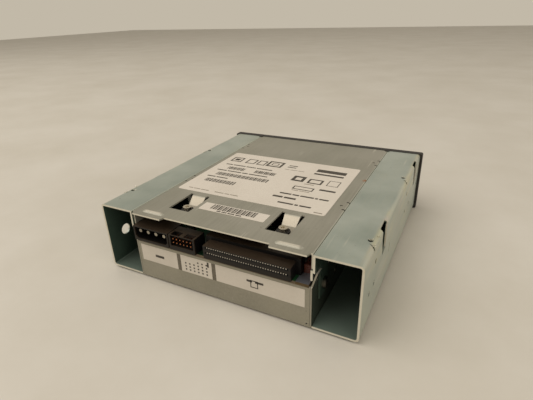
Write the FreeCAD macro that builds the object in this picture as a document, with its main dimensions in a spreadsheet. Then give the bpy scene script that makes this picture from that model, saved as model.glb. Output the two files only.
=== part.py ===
"""Data tape drive with two 5.25-inch adapter brackets, lying on its lid.

Millimetres, +Z up, bezel towards -Y, connectors towards +Y. The origin is under the middle
of the drive, on the surface that the bezel's lower edge rests on. Names such as top_cover
are those of the drive the right way up, so the top cover is the lowest shell here.
"""
import FreeCAD, Part
import math
import os
import re
import Sketcher
from FreeCAD import Placement, Rotation, Vector

# ---------------------------------------------------------------------------- sizes
SIZES = {
    # the case and its bay
    "body_width": 101.6, "bay_width": 146.0, "case_len": 148.0, "case_height": 39.8,
    "cover_t": 0.8, "plug_out": 2.0, "wall_gap": 0.1, "seam": 0.15,
    # the bezel and what sits in it
    "bezel_t": 5.0, "bezel_skin": 2.0, "bezel_wall": 1.8, "bezel_over": 1.2, "bezel_side": 1.5,
    "bezel_top": 0.3,
    "bezel_round": 1.2, "bezel_arm_len": 9.0, "bezel_arm_t": 1.2, "bezel_lip": 1.5,
    "slot_low": 3.1, "slot_height": 13.6, "slot_gap": 0.3, "door_t": 1.4,
    "hinge_inset": 1.4, "hinge_drop": 1.4, "knuckle_r": 1.1, "pin_r": 0.6, "knuckle_len": 16.0,
    "ear_t": 1.5, "coil_wire": 0.3, "door_coil_len": 7.0,
    "button_x": 32.0, "button_z": 30.0, "button_w": 12.0, "button_h": 5.0,
    "button_gap": 0.2, "flange_t": 0.7, "flange_over": 1.0, "coil_off": 7.6, "coil_r": 1.1,
    "light_x": 27.0, "light_pitch": 7.0, "light_r": 1.0, "led_t": 0.6, "led_w": 1.6,
    "panel_t": 1.0, "panel_gap": 1.1, "panel_w": 84.0, "panel_h": 11.5, "switch_t": 1.6,
    # adapter brackets
    "bracket_t": 1.0, "bracket_gap": 0.2, "bracket_bend": 2.0, "lip_depth": 9.3,
    "lug_w": 10.0, "lug_low": 13.0, "access_r": 3.15, "small_access_r": 1.35,
    "relief_rear": 33.0, "relief_front": 124.0, "relief_len": 10.5, "relief_w": 1.8,
    "relief_depth": 16.0, "bay_hole_x": 69.85, "bay_hole_rear": 21.35, "bay_pitch": 79.25,
    "bay_hole_r": 1.3, "bay_side_low": 10.0, "bay_side_high": 21.84, "pierce_len": 3.4,
    "hook_len": 4.0, "hook_in": 2.4, "hook_drop": 4.9, "side_slit_rear": 55.0, "side_slit_h": 6.0,
    # fasteners
    "screw_r": 1.5, "screw_fit": 0.05, "head_r": 2.9, "head_t": 1.8, "screw_rear": 12.4,
    "screw_pitch": 101.6, "screw_height": 18.0, "flat_r": 2.2, "flat_t": 0.5,
    "case_screw_r": 1.0, "case_screw_rear": 34.5, "case_screw_pitch": 100.0,
    "case_screw_z": 10.8,
    # bottom cover
    "edge_back": 1.0, "flange_depth": 7.0, "tongue_out": 1.5, "tongue_in": 30.0,
    "tongue_w": 19.5, "rib_x": 38.5, "rib_len": 10.5, "rib_r": 2.2, "rib_rise": 0.7,
    "rib_rear": 3.2, "window_x": 28.6, "window_w": 12.8, "window_rear": 11.3, "window_len": 20.6,
    "tab_w": 9.0, "tab_end_w": 7.6, "tab_drop": 3.8, "tab_flat": 2.1, "tab_ramp": 5.0,
    "tab_tail": 3.4, "mount_rear": 18.5, "pierce_x": 47.6, "pierce_rear": 49.8, "pierce_r": 0.7,
    "pierce_pitch": 70.0, "slit_w": 0.5,
    # top cover
    "flare_out": 2.2, "flare_rise": 7.4, "flare_len": 5.2, "vent_r": 0.5,
    # labels
    "label_t": 0.1, "rating_left": 47.5, "rating_right": 43.5, "rating_rear": 34.6,
    "rating_len": 69.1, "label_round": 1.6, "serial_x": 0.7, "serial_w": 38.6,
    "serial_rear": 16.8, "serial_len": 8.2, "strip_left": 48.1, "strip_right": 47.5,
    "strip_h": 9.9, "strip_drop": 1.8,
    # frame inside the case
    "rail_t": 2.7, "rail_low": 7.0, "leg_w": 8.0, "end_gap": 0.5, "beam_depth": 7.6,
    "beam_t": 2.9, "deck_t": 1.5, "deck_side": 5.0, "deck_front": 0.7, "deck_rear": 8.5,
    "rubber_r": 3.5, "rubber_neck": 2.5, "rubber_t": 0.7, "rubber_foot": 1.2,
    "front_mount_x": 22.0, "front_mount_y": 4.3, "mount_head_r": 2.3, "post_r": 2.3,
    # main board and its parts
    "board_gap": 2.8, "board_t": 1.6, "board_inset": 0.6, "board_out": 0.5, "board_depth": 41.0,
    "strip_in": 30.0, "strip_end": 11.5, "notch_gap": 0.4,
    "power_x": 38.0, "power_w": 22.8, "power_h": 8.4, "power_depth": 13.0, "power_pitch": 5.2,
    "power_pin_r": 0.95, "power_pin_z": 5.4, "power_hole_w": 21.4, "power_hole_h": 6.6,
    "power_hole_z": 4.5, "power_chamfer": 1.6, "power_set": 1.3, "hole_depth": 8.0,
    "jumper_x": 18.0, "jumper_w": 15.8, "jumper_h": 8.6, "jumper_depth": 9.0,
    "jumper_pitch": 2.15, "jumper_pin_r": 0.32, "jumper_pin_z": 5.2, "jumper_hole_h": 6.0,
    "jumper_notch": 5.4, "pin_set": 0.4,
    "scsi_x": 18.25, "scsi_w": 46.5, "scsi_h": 7.1, "scsi_depth": 6.5, "scsi_pitch": 1.27,
    "scsi_rows": 2.9, "scsi_row_z": 4.75, "scsi_hole_w": 44.0, "scsi_hole_h": 0.9,
    "scsi_pin_r": 0.3, "scsi_set": 0.2, "scsi_rim_t": 5.0, "scsi_rim_h": 8.9,
    "scsi_rim_over": 2.2, "pack_x": 45.8, "pack_w": 3.6, "pack_rear": 7.5, "pack_len": 6.0,
    "pack_h": 4.5,
    "chip_big": 24.0, "chip_mid": 14.0, "chip_small": 9.0, "chip_h": 3.0, "can_r": 3.1,
    "can_h": 7.0, "can_side": 43.5, "flex_x": 39.0, "flex_w": 12.0, "flex_t": 0.2,
    "flex_foot": 4.0,
    # head drum
    "drum_y": 17.5, "drum_r": 15.0, "drum_up": 6.9, "drum_tilt": 6.4, "drum_half": 5.0,
    "drum_gap": 0.1, "spindle_r": 1.5, "run_fit": 0.02, "race_r": 3.0, "race_t": 2.2,
    "house_r": 4.4, "house_len": 6.6, "rotor_r": 10.5, "rotor_wall": 1.2, "rotor_len": 4.6,
    "stator_t": 1.0, "stator_r": 8.9, "coil_t": 3.0, "coil_ring_r": 6.9, "winding_r": 1.7,
    "base_r": 11.5, "head_w": 1.2, "head_out": 0.03, "dish_r": 11.0, "dish_t": 1.5,
    # capstan and pinch roller
    "cap_x": 29.0, "cap_y": 17.0, "cap_r": 1.0, "cap_tip": 8.6, "sleeve_r": 3.0,
    "sleeve_up": 1.8, "wheel_r": 10.5, "wheel_t": 3.1, "wheel_gap": 1.9, "air_gap": 0.4,
    "pinch_x": 43.5, "pinch_y": 5.5, "pinch_len": 21.67, "pinch_angle": -30.5,
    "pinch_r": 4.0, "pinch_arm_up": 2.1, "arm_half": 2.2, "stud_r": 1.0,
    # reels
    "reel_x": 15.0, "reel_y": 32.5, "reel_r": 9.0, "reel_t": 0.6, "reel_up": 0.5,
    "hub_r": 2.7, "hub_len": 4.2, "journal_r": 1.25, "fin_len": 0.9, "reel_wheel_t": 1.8,
    "reel_coil_t": 1.2, "reel_wheel_gap": 1.8, "reel_ring_r": 6.0, "reel_winding_r": 2.2,
    # threading
    "arm_x": 42.2, "arm_y": 7.3, "arm_len": 29.37, "arm_angle": 196.2, "arm_t": 0.8,
    "arm_gap": 0.3, "guide_r": 3.0, "guide_low": 9.6, "guide_len": 6.0, "guide_pin_r": 1.0,
    "tip_clear": 0.9, "rack_module": 0.4, "arm_teeth": 20, "slide_t": 1.0, "slide_depth": 12.5,
    "slide_front": 4.7, "rack_arm_w": 4.4, "rack_teeth": 7, "guide_stud_x": 12.0,
    "slide_travel": 4.91, "cam_x": 25.0, "cam_y": 15.0, "cam_module": 0.5, "cam_teeth": 44,
    "cam_t": 2.4, "cam_groove_r": 8.6, "groove_w": 1.7, "groove_deep": 1.5, "cam_turn": 270.0,
    "cam_stud_r": 1.25, "small_teeth": 12, "big_teeth": 36, "pinion_teeth": 12,
    "train_angle": 158.0, "wheel_face": 1.2, "backlash": 0.06,
    # loading motor and its bracket
    "motor_r": 6.0, "motor_len": 9.2, "motor_shaft_r": 0.75, "bracket_plate": 1.0,
    "bracket_up": 6.8, "bracket_side": 46.8, "bracket_in": 17.0, "bracket_front": 31.5,
    "bracket_back": 19.0, "foot_back": 3.5,
    # cassette carriage
    "cassette_w": 73.0, "cassette_t": 10.5, "cassette_gap": 0.2, "cassette_side": 0.5,
    "basket_gap": 0.5, "basket_t": 0.6, "basket_len": 37.5, "basket_front": 3.0,
    "carriage_drop": 4.5, "carriage_draw": 20.0, "deck_gap": 0.4, "shelf_w": 4.1,
    "shelf_front": 8.5, "shelf_len": 24.0, "slide_gap": 0.4, "slide_plate": 0.8,
    "foot_w": 2.6, "foot_t": 0.8, "foot_len": 21.0, "guide_clear": 3.1, "rail_lip": 0.6, "rail_wall": 0.9,
    "cam_pin_r": 0.8, "pin_inset": 4.5, "pin_span": 26.0,
}

doc = FreeCAD.newDocument("TapeDrive")
sheet = doc.addObject("Spreadsheet::Sheet", "Sizes")
for row, (alias, size) in enumerate(SIZES.items(), 1):
    sheet.set(f"A{row}", alias)
    sheet.set(f"B{row}", str(size))
    sheet.setAlias(f"B{row}", alias)
doc.recompute()

# Levels and faces that many pieces share, as formulas over the sheet.
FRONT = "(-(bezel_t + case_len + plug_out) / 2)"
BACK = f"({FRONT} + bezel_t)"
REAR = f"({BACK} + case_len)"
PLUG = f"({REAR} + plug_out)"
MIDDLE = f"(({BACK} + {REAR}) / 2)"
FLOOR = "bezel_over"
ROOF = "(bezel_over + case_height)"
LID_IN = f"({FLOOR} + cover_t)"
PLATE_IN = f"({ROOF} - cover_t)"
SIDE = "(body_width / 2)"
SIDE_IN = "(body_width / 2 - cover_t)"
BAY = "(bay_width / 2)"
BASKET = f"({LID_IN} + basket_gap)"
SHELF = f"({BASKET} + basket_t + cassette_t + 2 * cassette_gap)"
DECK = f"({SHELF} + basket_t + carriage_drop + deck_gap)"
DECK_BACK = f"({DECK} + deck_t)"
BOARD = f"({DECK_BACK} + board_gap)"
BOARD_TOP = f"({BOARD} + board_t)"
WALL_TOP = f"({BOARD} - wall_gap)"
RAIL_IN = f"({SIDE_IN} - rail_t)"
DECK_SIDE = f"({SIDE} - deck_side)"
SLIDE = f"({DECK_BACK} + arm_gap)"
CAM = f"({SLIDE} + slide_t + arm_gap)"
TRAIN = f"({CAM} + cam_t + air_gap)"
PLATE = f"({DECK_BACK} + bracket_up)"
DRUM_Y = f"({MIDDLE} + drum_y)"
CAP_Y = f"({MIDDLE} - cap_y)"
PINCH_Y = f"({MIDDLE} + pinch_y)"
REEL_Y = f"({MIDDLE} - reel_y)"
ARM_Y = f"({MIDDLE} - arm_y)"
CAM_Y = f"({MIDDLE} + cam_y)"

SIDES = {"left": 1, "right": -1}
TURNS = {"x": Rotation(Vector(0, 1, 0), 90), "y": Rotation(Vector(1, 0, 0), -90),
         "z": Rotation()}
PLANES = {"x": Rotation(Vector(1, 1, 1), 120), "y": Rotation(Vector(1, 0, 0), 90),
          "z": Rotation()}
ALONG = {"x": Vector(1, 0, 0), "y": Vector(0, 1, 0), "z": Vector(0, 0, 1)}
ACROSS = {"x": "yz", "y": "xz", "z": "xy"}
nodes = []


# ---------------------------------------------------------------------------- helpers
def text(formula):
    """The formula as the document writes it, with the sheet before each alias."""
    return re.sub(r"[a-z_]+", lambda word: "Sizes." + word[0] if word[0] in SIZES else word[0],
                  str(formula))


def value(formula):
    """What the formula comes to with the sheet's present sizes."""
    return float(sheet.evalExpression(text(formula)))


def side_at(side, x):
    """The distance x from the middle, on the left (1) or the right (-1)."""
    return f"({x})" if side > 0 else f"(-({x}))"


def side_span(side, inner, outer):
    """The stretch from inner to outer on one side, low end first."""
    return (inner, outer) if side > 0 else (f"-({outer})", f"-({inner})")


def about(middle, width):
    """The stretch of one width about a middle."""
    return (f"({middle}) - ({width}) / 2", f"({middle}) + ({width}) / 2")


def node(thing):
    """Keeps a finished piece under its own label."""
    thing.Label = thing.Name
    nodes.append(thing)
    return thing


def block(name, x, y, z):
    """A box that runs between two formulas along each axis."""
    box = doc.addObject("Part::Box", name)
    for side, axis, (low, high) in zip(("Length", "Width", "Height"), "xyz", (x, y, z)):
        box.setExpression(side, text(f"({high}) - ({low})"))
        box.setExpression(f"Placement.Base.{axis}", text(low))
    return box


def rod(name, centre, span, radius, axis="z"):
    """A cylinder along an axis; centre gives the two other coordinates in order."""
    cylinder = doc.addObject("Part::Cylinder", name)
    cylinder.Placement = Placement(Vector(), TURNS[axis])
    cylinder.setExpression("Radius", text(radius))
    cylinder.setExpression("Height", text(f"({span[1]}) - ({span[0]})"))
    for other, formula in zip(ACROSS[axis], centre):
        cylinder.setExpression(f"Placement.Base.{other}", text(formula))
    cylinder.setExpression(f"Placement.Base.{axis}", text(span[0]))
    return cylinder


def fuse(name, *pieces):
    """One solid made of pieces that touch."""
    whole = doc.addObject("Part::MultiFuse", name)
    whole.Shapes = list(pieces)
    whole.Refine = True
    return whole


def cut(name, base, *tools):
    """The base with the tools taken away."""
    rest = doc.addObject("Part::Cut", name)
    rest.Base = base
    rest.Tool = tools[0] if len(tools) == 1 else fuse(name + "_tools", *tools)
    rest.Refine = True
    return rest


def group(name, *pieces):
    """Separate solids that share one node."""
    whole = doc.addObject("Part::Compound", name)
    whole.Links = list(pieces)
    return whole


def mirrored(name, source):
    """The same piece on the other side of the middle."""
    other = doc.addObject("Part::Mirroring", name)
    other.Source = source
    other.Normal = Vector(1, 0, 0)
    return other


def ring(name, centre, span, outer, inner, axis="z"):
    """A disc or tube with a bore."""
    return cut(name, rod(name + "_disc", centre, span, outer, axis),
               rod(name + "_bore", centre, span, inner, axis))


def turned(name, centre, steps, bore=None, axis="z"):
    """A turned piece: steps of (radius, low, high) along the axis, with a bore right through."""
    discs = [rod(f"{name}_step{i}", centre, (low, high), radius, axis)
             for i, (radius, low, high) in enumerate(steps)]
    if bore is None:
        return fuse(name, *discs)
    solid = fuse(name + "_solid", *discs)
    return cut(name, solid, rod(name + "_bore", centre, (steps[0][1], steps[-1][2]), bore, axis))


def pin_points(sketch, points):
    """A closed outline in the sketch, every corner held by two bound distances."""
    corners = [Vector(value(x), value(y), 0) for x, y in points]
    first = sketch.GeometryCount
    for i, corner in enumerate(corners):
        sketch.addGeometry(Part.LineSegment(corner, corners[(i + 1) % len(corners)]), False)
    for i, (point, corner) in enumerate(zip(points, corners)):
        after = first + (i + 1) % len(corners)
        sketch.addConstraint(Sketcher.Constraint("Coincident", first + i, 2, after, 1))
        for kind, formula, size in zip(("DistanceX", "DistanceY"), point, corner[:2]):
            index = sketch.addConstraint(Sketcher.Constraint(kind, -1, 1, first + i, 1, size))
            sketch.setExpression(f"Constraints[{index}]", text(formula))


def prism(name, axis, points, span):
    """An outline across the axis, drawn out along it."""
    sketch = doc.addObject("Sketcher::SketchObject", name + "_outline")
    sketch.Placement = Placement(Vector(), PLANES[axis])
    sketch.setExpression(f"Placement.Base.{axis}", text(span[0]))
    pin_points(sketch, points)
    solid = doc.addObject("Part::Extrusion", name)
    solid.Base = sketch
    solid.DirMode = "Custom"
    solid.Dir = ALONG[axis]
    solid.Solid = True
    solid.setExpression("LengthFwd", text(f"({span[1]}) - ({span[0]})"))
    return solid


def sketch_on(body, role, offset):
    """An empty sketch on one of the body's own origin planes, moved along its normal."""
    sketch = body.newObject("Sketcher::SketchObject", body.Name + "_sketch")
    plane = next(f for f in body.Origin.OriginFeatures if f.Role == role)
    sketch.AttachmentSupport = (plane, [""])
    sketch.MapMode = "FlatFace"
    sketch.setExpression("AttachmentOffset.Base.z", text(offset))
    return sketch


def round_edges(body, label, radius, test):
    """Rounds every edge of the body whose middle passes the test."""
    doc.recompute()
    base = body.Tip
    names = [f"Edge{i}" for i, edge in enumerate(base.Shape.Edges, 1)
             if len(edge.Vertexes) == 2 and test(edge)]
    fillet = body.newObject("PartDesign::Fillet", f"{body.Name}_{label}")
    fillet.Base = (base, names)
    fillet.setExpression("Radius", text(radius))
    body.Tip = fillet


def lies_along(edge, axis, **places):
    """True for a straight edge along the axis at the given coordinates."""
    ends = [vertex.Point for vertex in edge.Vertexes]
    reach = (ends[1] - ends[0]).normalize()
    level = all(abs(getattr(end, name) - place) < 1e-4
                for end in ends for name, place in places.items())
    return level and abs(abs(reach.dot(ALONG[axis])) - 1) < 1e-6


def folded(name, points, span, bends):
    """Folded sheet: a section across Y, padded along it, with (x, z, radius) bends rounded."""
    body = doc.addObject("PartDesign::Body", name)
    sketch = sketch_on(body, "XZ_Plane", f"-({span[1]})")
    pin_points(sketch, points)
    pad = body.newObject("PartDesign::Pad", name + "_pad")
    pad.Profile = sketch
    pad.setExpression("Length", text(f"({span[1]}) - ({span[0]})"))
    sketch.Visibility = False
    body.Tip = pad
    for i, (x, z, radius) in enumerate(bends):
        at = {"x": value(x), "z": value(z)}
        round_edges(body, f"bend{i}", radius, lambda edge: lies_along(edge, "y", **at))
    return body


def slab(name, x, y, z, radius):
    """A flat plate or cap with its four upright corners rounded."""
    body = doc.addObject("PartDesign::Body", name)
    sketch = sketch_on(body, "XY_Plane", z[0])
    pin_points(sketch, [(x[0], y[0]), (x[1], y[0]), (x[1], y[1]), (x[0], y[1])])
    pad = body.newObject("PartDesign::Pad", name + "_pad")
    pad.Profile = sketch
    pad.setExpression("Length", text(f"({z[1]}) - ({z[0]})"))
    body.Tip = pad
    round_edges(body, "corners", radius, lambda edge: lies_along(edge, "z"))
    return body


def formed(name, shape, x="0", y="0", z="0"):
    """A piece whose outline comes from a formula, then placed by the sheet."""
    piece = doc.addObject("Part::Feature", name)
    piece.Shape = shape
    for axis, formula in zip("xyz", (x, y, z)):
        piece.setExpression(f"Placement.Base.{axis}", text(formula))
    return piece


def tilted(piece):
    """Stands a piece, made about the drum's own axis, on that axis."""
    piece.Placement = Placement(Vector(), Rotation(Vector(1, 0, 0), value("drum_tilt")))
    piece.setExpression("Placement.Rotation.Angle", text("drum_tilt"))
    piece.setExpression("Placement.Base.y", text(DRUM_Y))
    piece.setExpression("Placement.Base.z", text(f"{DECK} - drum_up"))
    return piece


def polar(radius, degrees, height=0.0):
    """A point from a radius and an angle."""
    angle = math.radians(degrees)
    return Vector(radius * math.cos(angle), radius * math.sin(angle), height)


def gear_shape(module, teeth, thickness, bore, turn):
    """An involute spur gear on the origin with one tooth centred at the angle turn."""
    pitch = module * teeth / 2
    base = pitch * math.cos(math.radians(20))
    tip = pitch + module
    root = pitch - 1.25 * module
    low = max(base, root)
    half = 90 / teeth - math.degrees(value("backlash") / 2 / pitch)
    level = math.tan(math.radians(20)) - math.radians(20)

    def lean(radius):
        pressure = math.acos(base / radius)
        return half - math.degrees(math.tan(pressure) - pressure - level)

    steps = [low + (tip - low) * k / 3 for k in range(4)]
    edges = []
    for tooth in range(teeth):
        middle = turn + tooth * 360 / teeth
        after = middle + 360 / teeth
        rise = [polar(r, middle - lean(r)) for r in steps]
        fall = [polar(r, middle + lean(r)) for r in reversed(steps)]
        foot = polar(root, middle - lean(low))
        heel = polar(root, middle + lean(low))
        for side in (rise, fall):
            flank = Part.BSplineCurve()
            flank.interpolate(side)
            edges.append(flank.toShape())
        if low > root:
            edges.append(Part.makeLine(foot, rise[0]))
            edges.append(Part.makeLine(fall[-1], heel))
        edges.append(Part.Arc(rise[-1], polar(tip, middle), fall[0]).toShape())
        edges.append(Part.Arc(heel, polar(root, middle + 180 / teeth),
                              polar(root, after - lean(low))).toShape())
    wheel = Part.Face(Part.Wire(Part.__sortEdges__(edges))).extrude(Vector(0, 0, thickness))
    return wheel.cut(Part.makeCylinder(bore, thickness)) if bore else wheel


def coil_shape(radius, wire, length, turns, axis):
    """A helical spring; the origin is in the middle of its first turn's wire."""
    rise = length - 2 * wire
    helix = Part.makeHelix(rise / turns, rise, radius)
    section = Part.Wire(Part.makeCircle(wire, Vector(radius, 0, 0), Vector(0, 1, 0)))
    spring = Part.Wire(helix.Edges).makePipeShell([section], True, True)
    spring.Placement = Placement(Vector(), TURNS[axis])
    return spring


# ---------------------------------------------------------------------------- case
def bottom_cover():
    """The plate that faces up, with side flanges, end tongues, ribs, windows and sprung tabs."""
    edge = f"({REAR} - edge_back)"
    low = f"({PLATE_IN} - flange_depth)"
    shell = folded("bottom_cover_shell", [
        (f"-{SIDE}", low), (f"-{SIDE_IN}", low), (f"-{SIDE_IN}", PLATE_IN),
        (SIDE_IN, PLATE_IN), (SIDE_IN, low), (SIDE, low), (SIDE, ROOF), (f"-{SIDE}", ROOF)],
        (BACK, edge), [(f"-{SIDE}", ROOF, "cover_t"), (SIDE, ROOF, "cover_t")])
    extras = []
    holes = []
    for name, side in SIDES.items():
        inner, outer = side_span(side, "tongue_in", "tongue_in + tongue_w")
        extras.append(prism(f"{name}_tongue", "z", [
            (inner, edge), (outer, edge), (f"{outer} - tongue_out / 2", f"{REAR} + tongue_out"),
            (f"{inner} + tongue_out / 2", f"{REAR} + tongue_out")], (PLATE_IN, ROOF)))
        rib_y = f"{REAR} - rib_rear"
        rib_z = f"{ROOF} + rib_rise - rib_r"
        ends = about(side_at(side, "rib_x"), "rib_len")
        bead = [rod(f"{name}_rib_bar", (rib_y, rib_z), ends, "rib_r", "x")]
        for i, x in enumerate(ends):
            ball = doc.addObject("Part::Sphere", f"{name}_rib_end{i}")
            ball.setExpression("Radius", "Sizes.rib_r")
            for axis, formula in zip("xyz", (x, rib_y, rib_z)):
                ball.setExpression(f"Placement.Base.{axis}", text(formula))
            bead.append(ball)
        under = block(f"{name}_rib_under", (f"{ends[0]} - rib_r - 1", f"{ends[1]} + rib_r + 1"),
                      (f"{rib_y} - rib_r - 1", f"{rib_y} + rib_r + 1"),
                      (f"{PLATE_IN} - 3 * rib_r", PLATE_IN))
        extras.append(cut(f"{name}_rib", fuse(f"{name}_rib_whole", *bead), under))
        window_x = about(side_at(side, "window_x"), "window_w")
        window_y = (f"{REAR} - window_rear - window_len", f"{REAR} - window_rear")
        holes.append(block(f"{name}_window", window_x, window_y,
                           (f"{PLATE_IN} - 1", f"{ROOF} + 1")))
        extras.append(sprung_tab(name, side))
        for i, y in enumerate(leg_places()):
            holes.append(rod(f"{name}_pierce{i}", (side_at(side, "pierce_x"), y),
                             (f"{PLATE_IN} - 1", f"{ROOF} + 1"), "pierce_r"))
            slit = side_span(side, f"{SIDE} - 3 * slit_w", f"{SIDE} + 1")
            for j, start in enumerate((f"{y} + leg_w / 2", f"{y} - leg_w / 2 - 2 * slit_w")):
                holes.append(block(f"{name}_slit{i}{j}", slit, (start, f"{start} + slit_w"),
                                   (f"{PLATE_IN} - 1", f"{ROOF} + 1")))
    pierced = cut("bottom_cover_pierced", shell, *holes)
    node(fuse("bottom_cover", pierced, *extras))


def sprung_tab(name, side):
    """A tab bent down from the window's front edge; its flat tail grips a grommet."""
    start = f"({REAR} - window_rear - window_len)"
    bend = f"({start} + tab_flat)"
    foot = f"({bend} + tab_ramp)"
    tail = f"({REAR} - mount_rear + rubber_neck + tab_tail / 2)"
    low = f"({ROOF} - tab_drop)"
    outline = [(start, ROOF), (start, PLATE_IN), (bend, PLATE_IN), (foot, f"{low} - cover_t"),
               (tail, f"{low} - cover_t"), (tail, low), (foot, low), (bend, ROOF)]
    strip = prism(f"{name}_tab_strip", "x", outline, about(side_at(side, "window_x"), "tab_w"))
    plan = [(f"{side_at(side, 'window_x')} {sign} {half}", y)
            for sign, half, y in (("-", "tab_w / 2", start), ("+", "tab_w / 2", start),
                                  ("+", "tab_end_w / 2", foot), ("+", "tab_end_w / 2", tail),
                                  ("-", "tab_end_w / 2", tail), ("-", "tab_end_w / 2", foot))]
    cutter = prism(f"{name}_tab_plan", "z", plan, (f"{low} - 3", f"{ROOF} + 1"))
    shape = doc.addObject("Part::Common", f"{name}_tab_shape")
    shape.Base = strip
    shape.Tool = cutter
    bore = rod(f"{name}_tab_bore", (side_at(side, "window_x"), f"{REAR} - mount_rear"),
               (f"{low} - 3", f"{ROOF} + 1"), "rubber_neck")
    return cut(f"{name}_tab", shape, bore)


def top_cover():
    """The can over the mechanism: floor, side walls, rear wall and flared catches."""
    shell = folded("top_cover_shell", [
        (f"-{SIDE}", WALL_TOP), (f"-{SIDE}", FLOOR), (SIDE, FLOOR), (SIDE, WALL_TOP),
        (SIDE_IN, WALL_TOP), (SIDE_IN, LID_IN), (f"-{SIDE_IN}", LID_IN),
        (f"-{SIDE_IN}", WALL_TOP)],
        (BACK, REAR), [(f"-{SIDE}", FLOOR, "cover_t"), (SIDE, FLOOR, "cover_t")])
    wall = block("rear_wall", (f"-{SIDE_IN} + seam", f"{SIDE_IN} - seam"),
                 (f"{REAR} - cover_t", REAR), (FLOOR, WALL_TOP))
    flares = []
    holes = [rod("vent", (f"-{SIDE_IN} + 2 * cover_t", f"{LID_IN} + cover_t"),
                 (f"{REAR} - 2 * cover_t", f"{REAR} + 1"), "vent_r", "y")]
    for name, side in SIDES.items():
        inner, outer = side_at(side, SIDE_IN), side_at(side, SIDE)
        reach = side_at(side, "flare_out")
        flares.append(prism(f"{name}_flare", "y", [
            (inner, f"{WALL_TOP} - 0.01"), (outer, f"{WALL_TOP} - 0.01"),
            (f"{outer} + {reach}", f"{WALL_TOP} + flare_rise"),
            (f"{inner} + {reach}", f"{WALL_TOP} + flare_rise")],
            (f"{REAR} - edge_back - flare_len", f"{REAR} - edge_back")))
        holes += screw_bores(f"{name}_cover",
                             side_span(side, f"{SIDE_IN} - 1", f"{SIDE} + 1"), "screw_fit")
    folded_up = fuse("top_cover_whole", shell, wall, *flares)
    node(cut("top_cover", folded_up, *holes))


def leg_places():
    """How far along Y the rails' legs and the marks over them sit."""
    return (f"({REAR} - pierce_rear)", f"({REAR} - pierce_rear - pierce_pitch)")


def screw_places():
    """How far along Y the two side screws of each bracket sit."""
    return (f"({REAR} - screw_rear)", f"({REAR} - screw_rear - screw_pitch)")


def screw_bores(name, span, loose):
    """Bores along X for the bracket's screws and the top cover's screws."""
    bores = [rod(f"{name}_bore{i}", (y, f"{FLOOR} + screw_height"), span, f"screw_r + {loose}", "x")
             for i, y in enumerate(screw_places())]
    bores += [rod(f"{name}_small_bore{i}", (f"{REAR} - case_screw_rear - {i} * case_screw_pitch",
                                            f"{FLOOR} + case_screw_z"), span,
                  f"case_screw_r + {loose}", "x") for i in range(2)]
    return bores


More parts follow.
